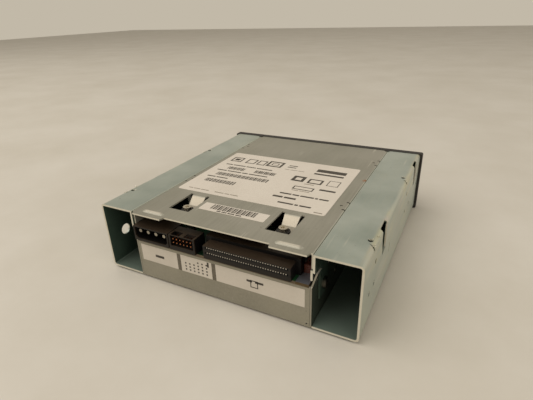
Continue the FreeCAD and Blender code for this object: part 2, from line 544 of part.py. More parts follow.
def bracket(name, side, access):
    """A folded channel from the body's side out to the bay's side."""
    lip_in, lip_out = f"({SIDE} + bracket_gap)", f"({SIDE} + bracket_gap + bracket_t)"
    web_in = f"({BAY} - bracket_t)"
    lip_low, top_in = f"({ROOF} - lip_depth)", f"({ROOF} - bracket_t)"
    floor_in = f"({FLOOR} + bracket_t)"
    outline = [(lip_in, lip_low), (lip_out, lip_low), (lip_out, top_in), (web_in, top_in),
               (web_in, floor_in), (lip_in, floor_in), (lip_in, FLOOR), (BAY, FLOOR),
               (BAY, ROOF), (lip_in, ROOF)]
    if side < 0:
        outline = [(f"-{x}", z) for x, z in outline]
    at = [(side_at(side, BAY), ROOF, "bracket_bend"), (side_at(side, BAY), FLOOR, "bracket_bend"),
          (side_at(side, web_in), top_in, "bracket_bend - bracket_t"),
          (side_at(side, web_in), floor_in, "bracket_bend - bracket_t"),
          (side_at(side, lip_in), ROOF, "bracket_t / 2")]
    channel = folded(f"{name}_channel", outline, (BACK, REAR), at)
    added, holes = [], []
    for i, y in enumerate(screw_places()):
        added.append(block(f"{name}_lug{i}", side_span(side, lip_in, lip_out),
                           about(y, "lug_w"), ("lug_low", f"{lip_low} + bracket_t")))
        height = f"{FLOOR} + screw_height"
        holes.append(rod(f"{name}_lug_hole{i}", (y, height),
                         side_span(side, f"{lip_in} - 1", f"{lip_out} + 1"),
                         "screw_r + screw_fit", "x"))
        holes.append(rod(f"{name}_access{i}", (y, height),
                         side_span(side, f"{web_in} - 1", f"{BAY} + 1"), access, "x"))
        bay_y = f"{REAR} - bay_hole_rear - {i} * bay_pitch"
        for surface, z in (("top", (f"{top_in} - 1", f"{ROOF} + 1")),
                           ("low", (f"{FLOOR} - 1", f"{floor_in} + 1"))):
            holes.append(rod(f"{name}_{surface}_bay_hole{i}",
                             (side_at(side, "bay_hole_x"), bay_y), z, "bay_hole_r"))
        for row, low in enumerate(("bay_side_low", "bay_side_high")):
            holes.append(rod(f"{name}_side_bay_hole{i}{row}", (bay_y, f"{ROOF} - {low}"),
                             side_span(side, f"{web_in} - 1", f"{BAY} + 1"), "bay_hole_r", "x"))
        holes += relief(f"{name}_relief{i}", side, web_in, ("relief_rear", "relief_front")[i])
        pierce = f"({bay_y} + 2 * bay_hole_r)"
        corner, inner = side_at(side, BAY), side_at(side, f"{BAY} - pierce_len")
        holes.append(prism(f"{name}_pierce{i}", "z", [
            (inner, pierce), (corner, f"{pierce} + pierce_len / 2"),
            (corner, f"{pierce} + pierce_len")], (f"{ROOF} - 2 * bracket_t", f"{ROOF} + 1")))
    holes.append(block(f"{name}_side_slit", side_span(side, f"{web_in} - 1", f"{BAY} + 1"),
                       about(f"{REAR} - side_slit_rear", "2 * slit_w"),
                       about(f"{FLOOR} + screw_height", "side_slit_h")))
    hook_y = (f"{REAR} - hook_len - edge_back", f"{REAR} - edge_back")
    step_in = f"({lip_out} - hook_in)"
    added.append(block(f"{name}_hook_step", side_span(side, step_in, lip_out), hook_y,
                       (f"{lip_low} - bracket_t / 2", f"{lip_low} + bracket_t / 2")))
    added.append(block(f"{name}_hook", side_span(side, step_in, f"{step_in} + bracket_t"),
                       hook_y, (f"{lip_low} - hook_drop", f"{lip_low} + bracket_t / 2")))
    whole = fuse(f"{name}_bracket_whole", channel, *added)
    node(cut(f"{name}_bracket", whole, *holes))


def relief(name, side, web_in, rear):
    """A leaf-shaped opening: broad over the upper outer bend, drawn to a point down the side."""
    near, far = f"({REAR} - {rear})", f"({REAR} - {rear} - relief_len)"
    flange = prism(f"{name}_flange", "z", [
        (side_at(side, f"{BAY} - relief_w"), f"{near} - relief_len / 12"),
        (side_at(side, f"{BAY} + 1"), near), (side_at(side, f"{BAY} + 1"), far),
        (side_at(side, f"{BAY} - relief_w"), far)],
        (f"{ROOF} - bracket_bend", f"{ROOF} + 1"))
    wall = prism(f"{name}_wall", "x", [
        (near, f"{ROOF} + 1"), (near, f"{ROOF} - relief_depth / 3"),
        (f"{near} - relief_len / 3", f"{ROOF} - relief_depth"),
        (f"{far} + relief_len / 10", f"{ROOF} - relief_depth * 0.9"),
        (f"{far} + relief_len / 10", f"{ROOF} - bracket_bend"), (far, f"{ROOF} + 1")],
        side_span(side, f"{web_in} - 0.5", f"{BAY} + 1"))
    return [flange, wall]


EAR_IN = "(cassette_w / 2 + cassette_side)"
HINGE_Y = f"({FRONT} + hinge_inset)"
HINGE_Z = "(slot_low + slot_height - hinge_drop)"


def bezel():
    """The front frame, open behind, with its slot, holes, hinge ears and arms."""
    half, top = f"({BAY} + bezel_side)", f"({ROOF} + bezel_top)"
    body = doc.addObject("PartDesign::Body", "bezel_frame")
    sketch = sketch_on(body, "XZ_Plane", f"-{BACK}")
    pin_points(sketch, [(f"-{half}", "0"), (half, "0"), (half, top), (f"-{half}", top)])
    pad = body.newObject("PartDesign::Pad", "bezel_pad")
    pad.Profile = sketch
    pad.setExpression("Length", "Sizes.bezel_t")
    body.Tip = pad
    front = value(FRONT)
    round_edges(body, "corners", "bezel_round", lambda edge: lies_along(edge, "y"))
    round_edges(body, "rim", "bezel_round / 2",
                lambda edge: all(abs(v.Point.y - front) < 1e-4 for v in edge.Vertexes))
    hollow = block("bezel_hollow", (f"-{half} + bezel_wall", f"{half} - bezel_wall"),
                   (f"{FRONT} + bezel_skin", f"{BACK} + 1"), ("bezel_wall", f"{top} - bezel_wall"))
    through = (f"{FRONT} - 1", f"{BACK} + 1")
    holes = [hollow,
             block("slot", about("0", "cassette_w + 2 * cassette_side"), through,
                   ("slot_low", "slot_low + slot_height")),
             block("button_hole", about("-button_x", "button_w + 2 * button_gap"), through,
                   about("button_z", "button_h + 2 * button_gap"))]
    for i in range(3):
        holes.append(rod(f"light_hole{i}", (f"light_x + {i - 1} * light_pitch", "button_z"),
                         through, "light_r + run_fit", "y"))
    added = []
    inner = f"{FRONT} + bezel_skin"
    for name, side in SIDES.items():
        added.append(block(f"{name}_ear", side_span(side, EAR_IN, f"{EAR_IN} + ear_t"),
                           (f"{inner} - 0.1", f"{HINGE_Y} + 2.5 * pin_r"),
                           (f"{HINGE_Z} - 2.5 * pin_r", f"{HINGE_Z} + 2.5 * pin_r")))
        lip_x = about(side_at(side, SIDE), "2 * bezel_lip")
        added.append(block(f"{name}_bezel_lip", lip_x,
                           (f"{BACK} - bezel_wall", f"{BACK} + bezel_lip"),
                           (f"{ROOF} + screw_fit", f"{ROOF} + 2 * bezel_top")))
        arm_x = side_span(side, f"{BAY} - bracket_t - bracket_gap - bezel_arm_t",
                          f"{BAY} - bracket_t - bracket_gap")
        arm_z = (f"{FLOOR} + bezel_arm_len", f"{ROOF} - bezel_arm_len")
        added.append(block(f"{name}_arm", arm_x, (f"{inner} - 0.1", f"{BACK} + bezel_arm_len"),
                           arm_z))
    frame = fuse("bezel_whole", cut("bezel_open", body, *holes), *added)
    pin = rod("hinge_bore", (HINGE_Y, HINGE_Z),
              (f"-{EAR_IN} - ear_t", f"{EAR_IN} + ear_t"), "pin_r", "x")
    node(cut("bezel", frame, pin))


def door():
    """The flap behind the slot, its two knuckles, the hinge pin and the closing spring."""
    half = f"({EAR_IN} - slot_gap)"
    flap_top = f"({HINGE_Z} - knuckle_r - 2 * slot_gap)"
    face = f"({HINGE_Y} - knuckle_r)"
    flap_y = (face, f"{face} + door_t")
    pieces = [slab("door_flap", (f"-{half}", half), flap_y,
                   ("slot_low + slot_gap + 0.2", flap_top), "door_t / 4")]
    for name, side in SIDES.items():
        x = side_span(side, f"{half} - knuckle_len", half)
        pieces.append(rod(f"{name}_knuckle", (HINGE_Y, HINGE_Z), x, "knuckle_r", "x"))
        pieces.append(block(f"{name}_knuckle_web", x, flap_y, (f"{flap_top} - 0.1", HINGE_Z)))
    bore = rod("door_bore", (HINGE_Y, HINGE_Z), (f"-{half} - 1", f"{half} + 1"),
               "pin_r + run_fit", "x")
    node(cut("door", fuse("door_whole", *pieces), bore))
    reach = f"({EAR_IN} + ear_t)"
    node(rod("door_pin", (HINGE_Y, HINGE_Z), (f"-{reach}", reach), "pin_r", "x"))
    spring = coil_shape(value("pin_r + coil_wire + 0.1"), value("coil_wire"),
                        value("door_coil_len"), 9, "x")
    node(formed("door_spring", spring, "-door_coil_len / 2 + coil_wire", HINGE_Y, HINGE_Z))


def eject_parts():
    """The button, the little spring behind it and its switch."""
    skin = f"({FRONT} + bezel_skin)"
    flange = f"({skin} + button_gap)"
    cap = slab("button_cap", about("-button_x", "button_w"), (FRONT, f"{flange} + flange_t / 2"),
               about("button_z", "button_h"), "bezel_round / 4")
    plate = block("button_flange", (f"-button_x - button_w / 2 - 2 * flange_over - 2 * coil_r",
                                    "-button_x + button_w / 2 + flange_over"),
                  (flange, f"{flange} + flange_t"), about("button_z", "button_h + 2 * flange_over"))
    node(fuse("eject_button", cap, plate))
    start, end = f"({flange} + flange_t)", PANEL
    spring = coil_shape(value("coil_r"), value("coil_wire"), value(f"{end} - {start}"), 3.5, "y")
    node(formed("eject_spring", spring, "-button_x - coil_off", f"{start} + coil_wire", "button_z"))
    body = block("switch_body", about("-button_x", "button_h"), (f"{PANEL} - switch_t", PANEL),
                 about("button_z", "button_h"))
    plunger = rod("switch_plunger", ("-button_x", "button_z"),
                  (f"{PANEL} - switch_t - led_t / 2", f"{PANEL} - switch_t"), "screw_r", "y")
    return fuse("eject_switch", body, plunger)


PANEL = f"({BACK} + panel_gap)"
BEAM_TOP = f"({DECK_BACK} + rubber_t + beam_t)"


def front_panel(switch):
    """The small board behind the bezel with its switch and lamps, and the light pipes."""
    node(block("front_panel_board", about("0", "panel_w"), (PANEL, f"{PANEL} + panel_t"),
               (BEAM_TOP, f"{BEAM_TOP} + panel_h")))
    pipes, lamps = [], []
    for i in range(3):
        x = f"light_x + {i - 1} * light_pitch"
        pipes.append(rod(f"light_pipe{i}", (x, "button_z"), (FRONT, f"{PANEL} - led_t"),
                         "light_r", "y"))
        lamps.append(block(f"lamp{i}", about(x, "led_w"), (f"{PANEL} - led_t", PANEL),
                           about("button_z", "led_w")))
    node(group("light_pipes", *pipes))
    node(group("panel_parts", switch, *lamps))


def labels():
    """The three labels: thin sheets on the plate and on the rear wall."""
    top = (ROOF, f"{ROOF} + label_t")
    node(slab("rating_label", ("-rating_right", "rating_left"),
              (f"{REAR} - rating_rear - rating_len", f"{REAR} - rating_rear"), top,
              "label_round"))
    node(slab("serial_label", about("serial_x", "serial_w"),
              (f"{REAR} - serial_rear - serial_len", f"{REAR} - serial_rear"), top,
              "label_round / 4"))
    node(block("rear_label", ("-strip_right", "strip_left"), (REAR, f"{REAR} + label_t"),
               (f"{WALL_TOP} - strip_drop - strip_h", f"{WALL_TOP} - strip_drop")))


# ---------------------------------------------------------------------------- frame
def rails():
    """Side rails with the legs that carry the plate, tied by the beam behind the bezel."""
    ends = (f"{BACK} + end_gap", f"{REAR} - cover_t - end_gap")
    for name, side in SIDES.items():
        x = side_span(side, RAIL_IN, SIDE_IN)
        bar = block(f"{name}_rail_bar", x, ends, (f"{FLOOR} + rail_low", BOARD))
        legs = [block(f"{name}_leg{i}", x, about(y, "leg_w"), (f"{BOARD} - 1", PLATE_IN))
                for i, y in enumerate(leg_places())]
        bores = screw_bores(f"{name}_rail",
                            side_span(side, f"{RAIL_IN} - 1", f"{SIDE_IN} + 1"), "0")
        node(cut(f"{name}_rail", fuse(f"{name}_rail_whole", bar, *legs), *bores))
    beam_y = (f"{BACK} + end_gap", f"{BACK} + end_gap + beam_depth")
    bar = block("beam_bar", (f"-{RAIL_IN} + end_gap", f"{RAIL_IN} - end_gap"), beam_y,
                (f"{DECK_BACK} + rubber_t", BEAM_TOP))
    cap = block("beam_cap", (f"-{SIDE_IN} + end_gap", f"{SIDE_IN} - end_gap"), beam_y,
                (BOARD, BEAM_TOP))
    bores = [rod(f"beam_bore{i}", (f"{sign}front_mount_x", FRONT_MOUNT_Y),
                 (f"{DECK_BACK} - 1", f"{BEAM_TOP} - rubber_t"), "screw_r")
             for i, sign in enumerate(("", "-"))]
    node(cut("front_beam", fuse("beam_whole", bar, cap), *bores))


FRONT_MOUNT_Y = f"({BACK} + front_mount_y)"


def deck():
    """The deck plate, its rear posts and its four rubber mounts with their screws."""
    plate = block("deck_blank", (f"-{DECK_SIDE}", DECK_SIDE),
                  (f"{BACK} + deck_front", f"{REAR} - deck_rear"), (DECK, DECK_BACK))
    through = (f"{DECK} - 1", f"{DECK_BACK} + 1")
    holes = [tilted(rod("drum_hole", ("0", "0"), ("0", "drum_half + 2 * house_len"),
                        "house_r + deck_gap")),
             rod("capstan_hole", ("-cap_x", CAP_Y), through, "sleeve_r")]
    for name, side in SIDES.items():
        holes.append(rod(f"{name}_arm_hole", (side_at(side, "arm_x"), ARM_Y), through,
                         "journal_r + run_fit"))
        holes.append(rod(f"{name}_reel_hole", (side_at(side, "reel_x"), REEL_Y), through,
                         "sleeve_r"))
        holes.append(rod(f"{name}_mount_hole", (side_at(side, "front_mount_x"), FRONT_MOUNT_Y),
                         through, "rubber_neck"))
    pierced = cut("deck_pierced", plate, *holes)
    grip = f"({ROOF} - tab_drop - cover_t)"
    foot = f"({grip} - rubber_foot)"
    posts, rubbers, screws = [], [], []
    for name, side in SIDES.items():
        rear = (side_at(side, "window_x"), f"{REAR} - mount_rear")
        front = (side_at(side, "front_mount_x"), FRONT_MOUNT_Y)
        post = rod(f"{name}_post_bar", rear, (DECK_BACK, foot), "post_r")
        bore = rod(f"{name}_post_bore", rear, (f"{foot} - 2 * post_r", f"{foot} + 1"), "screw_r")
        posts.append(cut(f"{name}_post", post, bore))
        tip = f"({grip} + cover_t + rubber_t)"
        rubbers.append(turned(f"{name}_rear_rubber", rear, [
            ("rubber_r", foot, grip), ("rubber_neck", grip, f"{grip} + cover_t"),
            ("rubber_r", f"{grip} + cover_t", tip)], "screw_r"))
        rubbers.append(turned(f"{name}_front_rubber", front, [
            ("rubber_r", f"{DECK} - rubber_t", DECK), ("rubber_neck", DECK, DECK_BACK),
            ("rubber_r", DECK_BACK, f"{DECK_BACK} + rubber_t")], "screw_r"))
        head = pan_head(f"{name}_rear_head", rear, (tip, f"{tip} + head_t"), "mount_head_r")
        shank = rod(f"{name}_rear_shank", rear, (f"{foot} - 2 * post_r", tip), "screw_r")
        screws.append(fuse(f"{name}_rear_screw", head, shank))
        low = f"({DECK} - rubber_t)"
        head = rod(f"{name}_front_head", front, (f"{low} - head_t * 0.7", low),
                       "mount_head_r")
        shank = rod(f"{name}_front_shank", front, (low, f"{BEAM_TOP} - rubber_t"), "screw_r")
        screws.append(fuse(f"{name}_front_screw", head, shank))
    node(fuse("deck_plate", pierced, *posts))
    node(group("shock_grommets", *rubbers))
    node(group("shock_screws", *screws))


def pan_head(name, centre, span, radius, axis="z", outward=1):
    """A low domed head with a star recess, its crown at the outward end."""
    low, high = span
    crown = high if outward > 0 else low
    disc = rod(name + "_disc", centre, span, radius, axis)
    dish = rod(name + "_dish", centre, about(crown, "head_t"), f"{radius} / 2.4", axis)
    return cut(name, disc, dish)


def case_screws():
    """Screws through the brackets' lugs into the rails, and the top cover's own screws."""
    screws = []
    for name, side in SIDES.items():
        for i in range(2):
            place = (f"{REAR} - case_screw_rear - {i} * case_screw_pitch",
                     f"{FLOOR} + case_screw_z")
            head = rod(f"{name}_flat_head{i}", place, side_span(side, SIDE, f"{SIDE} + flat_t"),
                       "flat_r", "x")
            shank = rod(f"{name}_flat_shank{i}", place,
                        side_span(side, f"{RAIL_IN} + end_gap", SIDE), "case_screw_r", "x")
            screws.append(fuse(f"{name}_flat_screw{i}", head, shank))
        face = f"({SIDE} + bracket_gap + bracket_t)"
        for i, y in enumerate(screw_places()):
            place = (y, f"{FLOOR} + screw_height")
            head = pan_head(f"{name}_side_head{i}", place,
                            side_span(side, face, f"{face} + head_t"), "head_r", "x", side)
            shank = rod(f"{name}_side_shank{i}", place, side_span(side, RAIL_IN, face),
                        "screw_r", "x")
            screws.append(fuse(f"{name}_side_screw{i}", head, shank))
    node(group("side_screws", *screws))


# ---------------------------------------------------------------------------- electronics
def main_board():
    """The L-shaped board on the rails, with what is soldered to it."""
    edge = f"({SIDE_IN} - board_inset)"
    rear = f"({REAR} + board_out)"
    front = f"({rear} - board_depth)"
    end = f"({BACK} + strip_end)"
    blank = prism("board_blank", "z", [
        (f"-{edge}", front), ("strip_in", front), ("strip_in", end), (edge, end), (edge, rear),
        (f"-{edge}", rear)], (BOARD, BOARD_TOP))
    through = (f"{BOARD} - 1", f"{BOARD_TOP} + 1")
    holes = [rod(f"{name}_post_hole", (side_at(side, "window_x"), f"{REAR} - mount_rear"),
                 through, "post_r + 2 * notch_gap") for name, side in SIDES.items()]
    for i, y in enumerate(leg_places()):
        holes.append(block(f"leg_notch{i}", (f"{RAIL_IN} - notch_gap", f"{SIDE_IN} + 1"),
                           about(y, "leg_w + 2 * notch_gap"), through))
    node(cut("main_board", blank, *holes))
    near = f"{front} + board_depth / 4"
    places = [("0", f"{front} + board_depth * 0.4", "chip_big"),
              (f"-{edge} * 0.75", near, "chip_mid"), (f"{edge} * 0.75", near, "chip_mid"),
              (f"-{edge} * 0.4", f"{front} + chip_small * 0.7", "chip_small"),
              (f"{edge} * 0.4", f"{front} + chip_small * 0.7", "chip_small"),
              (f"{edge} * 0.78", MIDDLE, "chip_mid"), (f"{edge} * 0.78", f"{end} * 0.45", "chip_small")]
    parts = [block(f"chip{i}", about(x, size), about(y, size),
                   (BOARD_TOP, f"{BOARD_TOP} + {size} * chip_h / chip_big + chip_h / 4"))
             for i, (x, y, size) in enumerate(places)]
    for name, side in SIDES.items():
        parts.append(rod(f"{name}_capacitor", (side_at(side, "can_side"), f"{rear} - mount_rear"),
                         (BOARD_TOP, f"{BOARD_TOP} + can_h"), "can_r"))
    node(group("board_parts", *parts))
    flex_top = f"({BEAM_TOP} + panel_h / 2)"
    panel = f"({PANEL} + panel_t)"
    high = f"({BOARD_TOP} + flex_t)"
    node(prism("front_flex_cable", "x", [
        (panel, flex_top), (panel, f"{flex_top} - flex_t"),
        (f"{panel} + flex_foot / 2", f"{flex_top} - flex_t"), (f"{end} - flex_foot / 2", BOARD_TOP),
        (f"{end} + flex_foot", BOARD_TOP), (f"{end} + flex_foot", high),
        (f"{end} - flex_foot / 2 + flex_t", high), (f"{panel} + flex_foot / 2 + flex_t", flex_top)],
        about("flex_x", "flex_w")))


def power_socket():
    """The four-pin power connector, its lower corners cut off inside."""
    face = (f"{PLUG} - hole_depth", f"{PLUG} + 1")
    shell = block("power_shell", about("power_x", "power_w"), (f"{PLUG} - power_depth", PLUG),
                  (BOARD_TOP, f"{BOARD_TOP} + power_h"))
    left, right = about("power_x", "power_hole_w")
    low, high = about(f"{BOARD_TOP} + power_hole_z", "power_hole_h")
    mouth = prism("power_mouth", "y", [
        (f"{left} + power_chamfer", low), (f"{right} - power_chamfer", low),
        (right, f"{low} + power_chamfer"), (right, high), (left, high),
        (left, f"{low} + power_chamfer")], face)
    node(cut("power_connector", shell, mouth))
    node(group("power_pins", *[
        rod(f"power_pin{i}", (f"power_x + {i - 1.5} * power_pitch", f"{BOARD_TOP} + power_pin_z"),
            (face[0], f"{PLUG} - power_set"), "power_pin_r", "y") for i in range(4)]))


def option_header():
    """The shrouded option pin header, two notches in its top; gives back its pins."""
    top = f"({BOARD_TOP} + jumper_h)"
    mouth_y = (f"{PLUG} - jumper_depth / 2", f"{PLUG} + 1")
    shell = block("jumper_shell", about("jumper_x", "jumper_w"),
                  (f"{PLUG} - jumper_depth", PLUG), (BOARD_TOP, top))
    tools = [block("jumper_mouth", about("jumper_x", "6.5 * jumper_pitch"), mouth_y,
                   about(f"{BOARD_TOP} + jumper_pin_z", "jumper_hole_h"))]
    low_side, high_side = about("jumper_x", "jumper_w - 6 * pin_set")
    for i, start in enumerate((low_side, f"{high_side} - jumper_notch")):
        tools.append(block(f"jumper_notch{i}", (start, f"{start} + jumper_notch"),
                           (f"{PLUG} - jumper_depth / 2.2", f"{PLUG} - pin_set"),
                           (f"{top} - 3 * pin_set", f"{top} + 1")))
    node(cut("jumper_header", shell, *tools))
    return [rod(f"jumper_pin{column}{row}", (
        f"jumper_x + {column - 2.5} * jumper_pitch",
        f"{BOARD_TOP} + jumper_pin_z + {row - 0.5} * jumper_pitch"),
        (mouth_y[0], f"{PLUG} - pin_set"), "jumper_pin_r", "y")
        for column in range(6) for row in range(2)]


def signal_sockets():
    """The option pins, the 68-way connector with its raised rim, and the pack beside it."""
    pins = option_header()
    left, right = about("-scsi_x", "scsi_w")
    rim = f"({PLUG} - scsi_depth)"
    rim_back = f"({rim} - scsi_rim_t)"
    tongue = block("scsi_tongue", (left, right), (rim, PLUG), (BOARD_TOP, f"{BOARD_TOP} + scsi_h"))
    collar = block("scsi_rim", (f"{left} - scsi_rim_over", f"{right} + scsi_rim_over"),
                   (rim_back, rim), (BOARD_TOP, f"{BOARD_TOP} + scsi_rim_h"))
    slots = []
    for row in range(2):
        z = f"{BOARD_TOP} + scsi_row_z + {row - 0.5} * scsi_rows"
        slots.append(block(f"scsi_slot{row}", about("-scsi_x", "scsi_hole_w"),
                           (f"{PLUG} - hole_depth", f"{PLUG} + 1"), about(z, "scsi_hole_h")))
        pins += [rod(f"scsi_pin{column}{row}", (f"-scsi_x + {column - 16.5} * scsi_pitch", z),
                     (f"{PLUG} - hole_depth", f"{PLUG} - scsi_set"), "scsi_pin_r", "y")
                 for column in range(34)]
    node(cut("scsi_connector", fuse("scsi_whole", tongue, collar), *slots))
    node(group("signal_pins", *pins))
    end = f"({REAR} - pack_rear)"
    node(block("resistor_pack", about("-pack_x", "pack_w"), (f"{end} - pack_len", end),
               (BOARD_TOP, f"{BOARD_TOP} + pack_h")))


# ---------------------------------------------------------------------------- tape path
def windings(name, centre, ring_r, coil_r, span):
    """Six round windings in a ring about an axis."""
    x, y = centre
    return [rod(f"{name}_winding{i}", (f"{x} + {ring_r} * cos({60 * i})",
                                       f"{y} + {ring_r} * sin({60 * i})"), span, coil_r)
            for i in range(6)]


HALF_GAP = "drum_gap / 2"
DRUM_TOP = f"(drum_half + {HALF_GAP})"
HOUSE_END = f"({DRUM_TOP} + house_len)"
STATOR = f"({HOUSE_END} - 1.2 * stator_t)"
ROTOR = f"({STATOR} + 2 * stator_t)"
CENTRE = ("0", "0")


def head_drum():
    """The tilted drum: a turning half with its heads, the fixed half, its motor and its foot."""
    low = f"-{DRUM_TOP}"
    disc = ring("drum_disc", CENTRE, (low, f"-{HALF_GAP}"), "drum_r", "spindle_r")
    tools = [rod("drum_dish", CENTRE, (f"{low} - 1", f"{low} + dish_t"), "dish_r")]
    boss = rod("drum_boss", CENTRE, (f"{low}", f"{low} + dish_t"), "spindle_r + race_t")
    heads = []
    for i in range(4):
        for name, out in (("slot", "1"), ("tip", "head_out")):
            bar = block(f"head_{name}{i}", ("drum_r - 2 * head_w", f"drum_r + {out}"),
                        about("0", "head_w"), (f"-{HALF_GAP} - head_w", f"-{HALF_GAP}"))
            spoke = group(f"head_{name}_turned{i}", bar)
            spoke.Placement = Placement(Vector(), Rotation(Vector(0, 0, 1), 90 * i))
            (tools if name == "slot" else heads).append(spoke)
    bored = cut("drum_boss_bored", boss, rod("drum_boss_bore", CENTRE, (low, f"{low} + dish_t"),
                                             "spindle_r"))
    node(tilted(fuse("upper_drum", cut("drum_dished", disc, *tools), bored)))
    node(tilted(group("drum_heads", *heads)))
    node(tilted(turned("lower_drum", CENTRE, [
        ("drum_r", HALF_GAP, DRUM_TOP), ("house_r", DRUM_TOP, HOUSE_END)], "race_r")))
    rotor_end = f"({ROTOR} + rotor_len)"
    cup = rod("rotor_cup", CENTRE, (ROTOR, rotor_end), "rotor_r")
    hollow = rod("rotor_hollow", CENTRE, (f"{ROTOR} - 1", f"{rotor_end} - rotor_wall"),
                 "rotor_r - rotor_wall")
    hub = rod("rotor_hub", CENTRE, (f"{HOUSE_END} + 2 * drum_gap", rotor_end), "race_r - 0.4")
    bore = rod("rotor_bore", CENTRE, (HOUSE_END, f"{rotor_end} + 1"), "spindle_r")
    node(tilted(cut("drum_rotor", fuse("rotor_whole", cut("rotor_rim", cup, hollow), hub), bore)))
    node(tilted(group("drum_shaft", rod("spindle", CENTRE, (f"-{DRUM_TOP}", rotor_end),
                                        "spindle_r"))))
    plate = ring("stator_plate", CENTRE, (STATOR, f"{STATOR} + stator_t"), "stator_r", "house_r")
    coils = windings("drum", CENTRE, "coil_ring_r", "winding_r",
                     (f"{STATOR} + stator_t", f"{STATOR} + stator_t + coil_t"))
    stator = tilted(fuse("drum_stator", plate, *coils))
    blank = rod("base_blank", ("0", DRUM_Y), (f"{DECK} - drum_up", DECK), "base_r")
    reach = "2 * base_r"
    below = tilted(group("base_below", block(
        "base_cutter", (f"-{reach}", reach), (f"-{reach}", reach), (f"-{reach}", DRUM_TOP))))
    bore = tilted(rod("base_bore", CENTRE, ("0", "3 * drum_half"), "house_r"))
    node(cut("drum_base", blank, below, bore))
    return stator


def bearings():
    """The drum's two races and the sleeves in the deck for the capstan and the reels."""
    races = [ring("low_race", CENTRE, ("race_t / 4", "race_t * 1.25"), "race_r",
                  "spindle_r + run_fit"),
             ring("high_race", CENTRE, (f"{HOUSE_END} - race_t * 1.1", f"{HOUSE_END} - race_t / 10"),
                  "race_r", "spindle_r + run_fit")]
    drum_races = tilted(group("drum_races", *races))
    capstan = ring("capstan_sleeve", ("-cap_x", CAP_Y),
                   (f"{DECK} - sleeve_up", f"{DECK_BACK} + wheel_gap - reel_up"), "sleeve_r",
                   "cap_r + run_fit")
    sleeves = [ring(f"{name}_reel_sleeve", (side_at(side, "reel_x"), REEL_Y),
                    (f"{DECK} - arm_gap", f"{DECK_BACK} + reel_coil_t"), "sleeve_r",
                    "journal_r + run_fit") for name, side in SIDES.items()]
    node(group("bearings", drum_races, capstan, *sleeves))


def capstan(stator):
    """The capstan, its flywheel, and the windings of every flat motor."""
    place = ("-cap_x", CAP_Y)
    wheel = (f"{DECK_BACK} + wheel_gap", f"{DECK_BACK} + wheel_gap + wheel_t")
    node(rod("capstan_shaft", place, ("cap_tip", f"{wheel[1]} + 3.5 * air_gap"), "cap_r"))
    node(ring("capstan_flywheel", place, wheel, "wheel_r", "cap_r"))
    coils = windings("capstan", place, "coil_ring_r", "reel_winding_r",
                     (f"{wheel[1]} + air_gap", PLATE))
    for name, side in SIDES.items():
        coils += windings(f"{name}_reel", (side_at(side, "reel_x"), REEL_Y), "reel_ring_r",
                          "reel_winding_r", (DECK_BACK, f"{DECK_BACK} + reel_coil_t"))
    node(group("motor_windings", stator, *coils))


def swung(piece, x, y, angle):
    """Stands a piece, made about the origin, on an upright axis and turns it."""
    piece.Placement = Placement(Vector(), Rotation(Vector(0, 0, 1), value(angle)))
    piece.setExpression("Placement.Rotation.Angle", text(angle))
    piece.setExpression("Placement.Base.x", text(x))
    piece.setExpression("Placement.Base.y", text(y))
    return piece


def pinch():
    """The arm under the deck that presses the rubber roller on the capstan."""
    top = f"({DECK} - pinch_arm_up)"
    arm_z = (f"{top} - bracket_plate", top)
    low_end = f"({DECK} - 1.6 * pinch_arm_up - deck_gap)"
    plate = prism("pinch_plate", "z", [
        ("0", "-arm_half"), ("pinch_len", "-arm_half / 2"), ("pinch_len", "arm_half / 2"),
        ("0", "arm_half")], arm_z)
    hub = rod("pinch_hub", CENTRE, (f"{top} - 1.4 * bracket_plate", f"{DECK} - arm_gap"),
              "arm_half + reel_t")
    tip = rod("pinch_tip", ("pinch_len", "0"), arm_z, "arm_half * 0.8")
    pin = rod("pinch_pin", ("pinch_len", "0"), ("cap_tip + reel_t", arm_z[0]), "cam_pin_r")
    bore = rod("pinch_bore", CENTRE, ("0", f"{DECK} + 1"), "stud_r + run_fit")
    whole = cut("pinch_arm", fuse("pinch_whole", plate, hub, tip, pin), bore)
    node(swung(whole, "-pinch_x", PINCH_Y, "pinch_angle"))
    roller = ring("pinch_tyre", ("pinch_len", "0"), ("guide_low", f"{arm_z[0]} - reel_up"),
                  "pinch_r", "cam_pin_r + run_fit")
    node(swung(group("pinch_roller", roller), "-pinch_x", PINCH_Y, "pinch_angle"))


def reels():
    """The two reel tables, each with its finned spindle, shaft and motor disc."""
    under = f"({DECK} - reel_up)"
    table = f"({under} - reel_t)"
    wheel = f"({DECK_BACK} + reel_wheel_gap)"
    for name, side in zip(("supply", "takeup"), (1, -1)):
        steps = [("hub_r", f"{table} - hub_len", table), ("reel_r", table, under),
                 ("journal_r", under, wheel), ("reel_r", wheel, f"{wheel} + reel_wheel_t")]
        body = turned(f"{name}_turned", CENTRE, steps)
        fins = []
        for i in range(3):
            fin = block(f"{name}_fin{i}", ("hub_r / 2", "hub_r + fin_len"), about("0", "fin_len"),
                        (f"{table} - hub_len * 0.8", table))
            turned_fin = group(f"{name}_fin_turned{i}", fin)
            turned_fin.Placement = Placement(Vector(), Rotation(Vector(0, 0, 1), 120 * i + 30))
            fins.append(turned_fin)
        reel = fuse(f"{name}_reel", body, *fins)
        node(swung(reel, side_at(side, "reel_x"), REEL_Y, "0"))


# ---------------------------------------------------------------------------- threading
PITCH_LINE = "(arm_x - rack_module * arm_teeth / 2)"


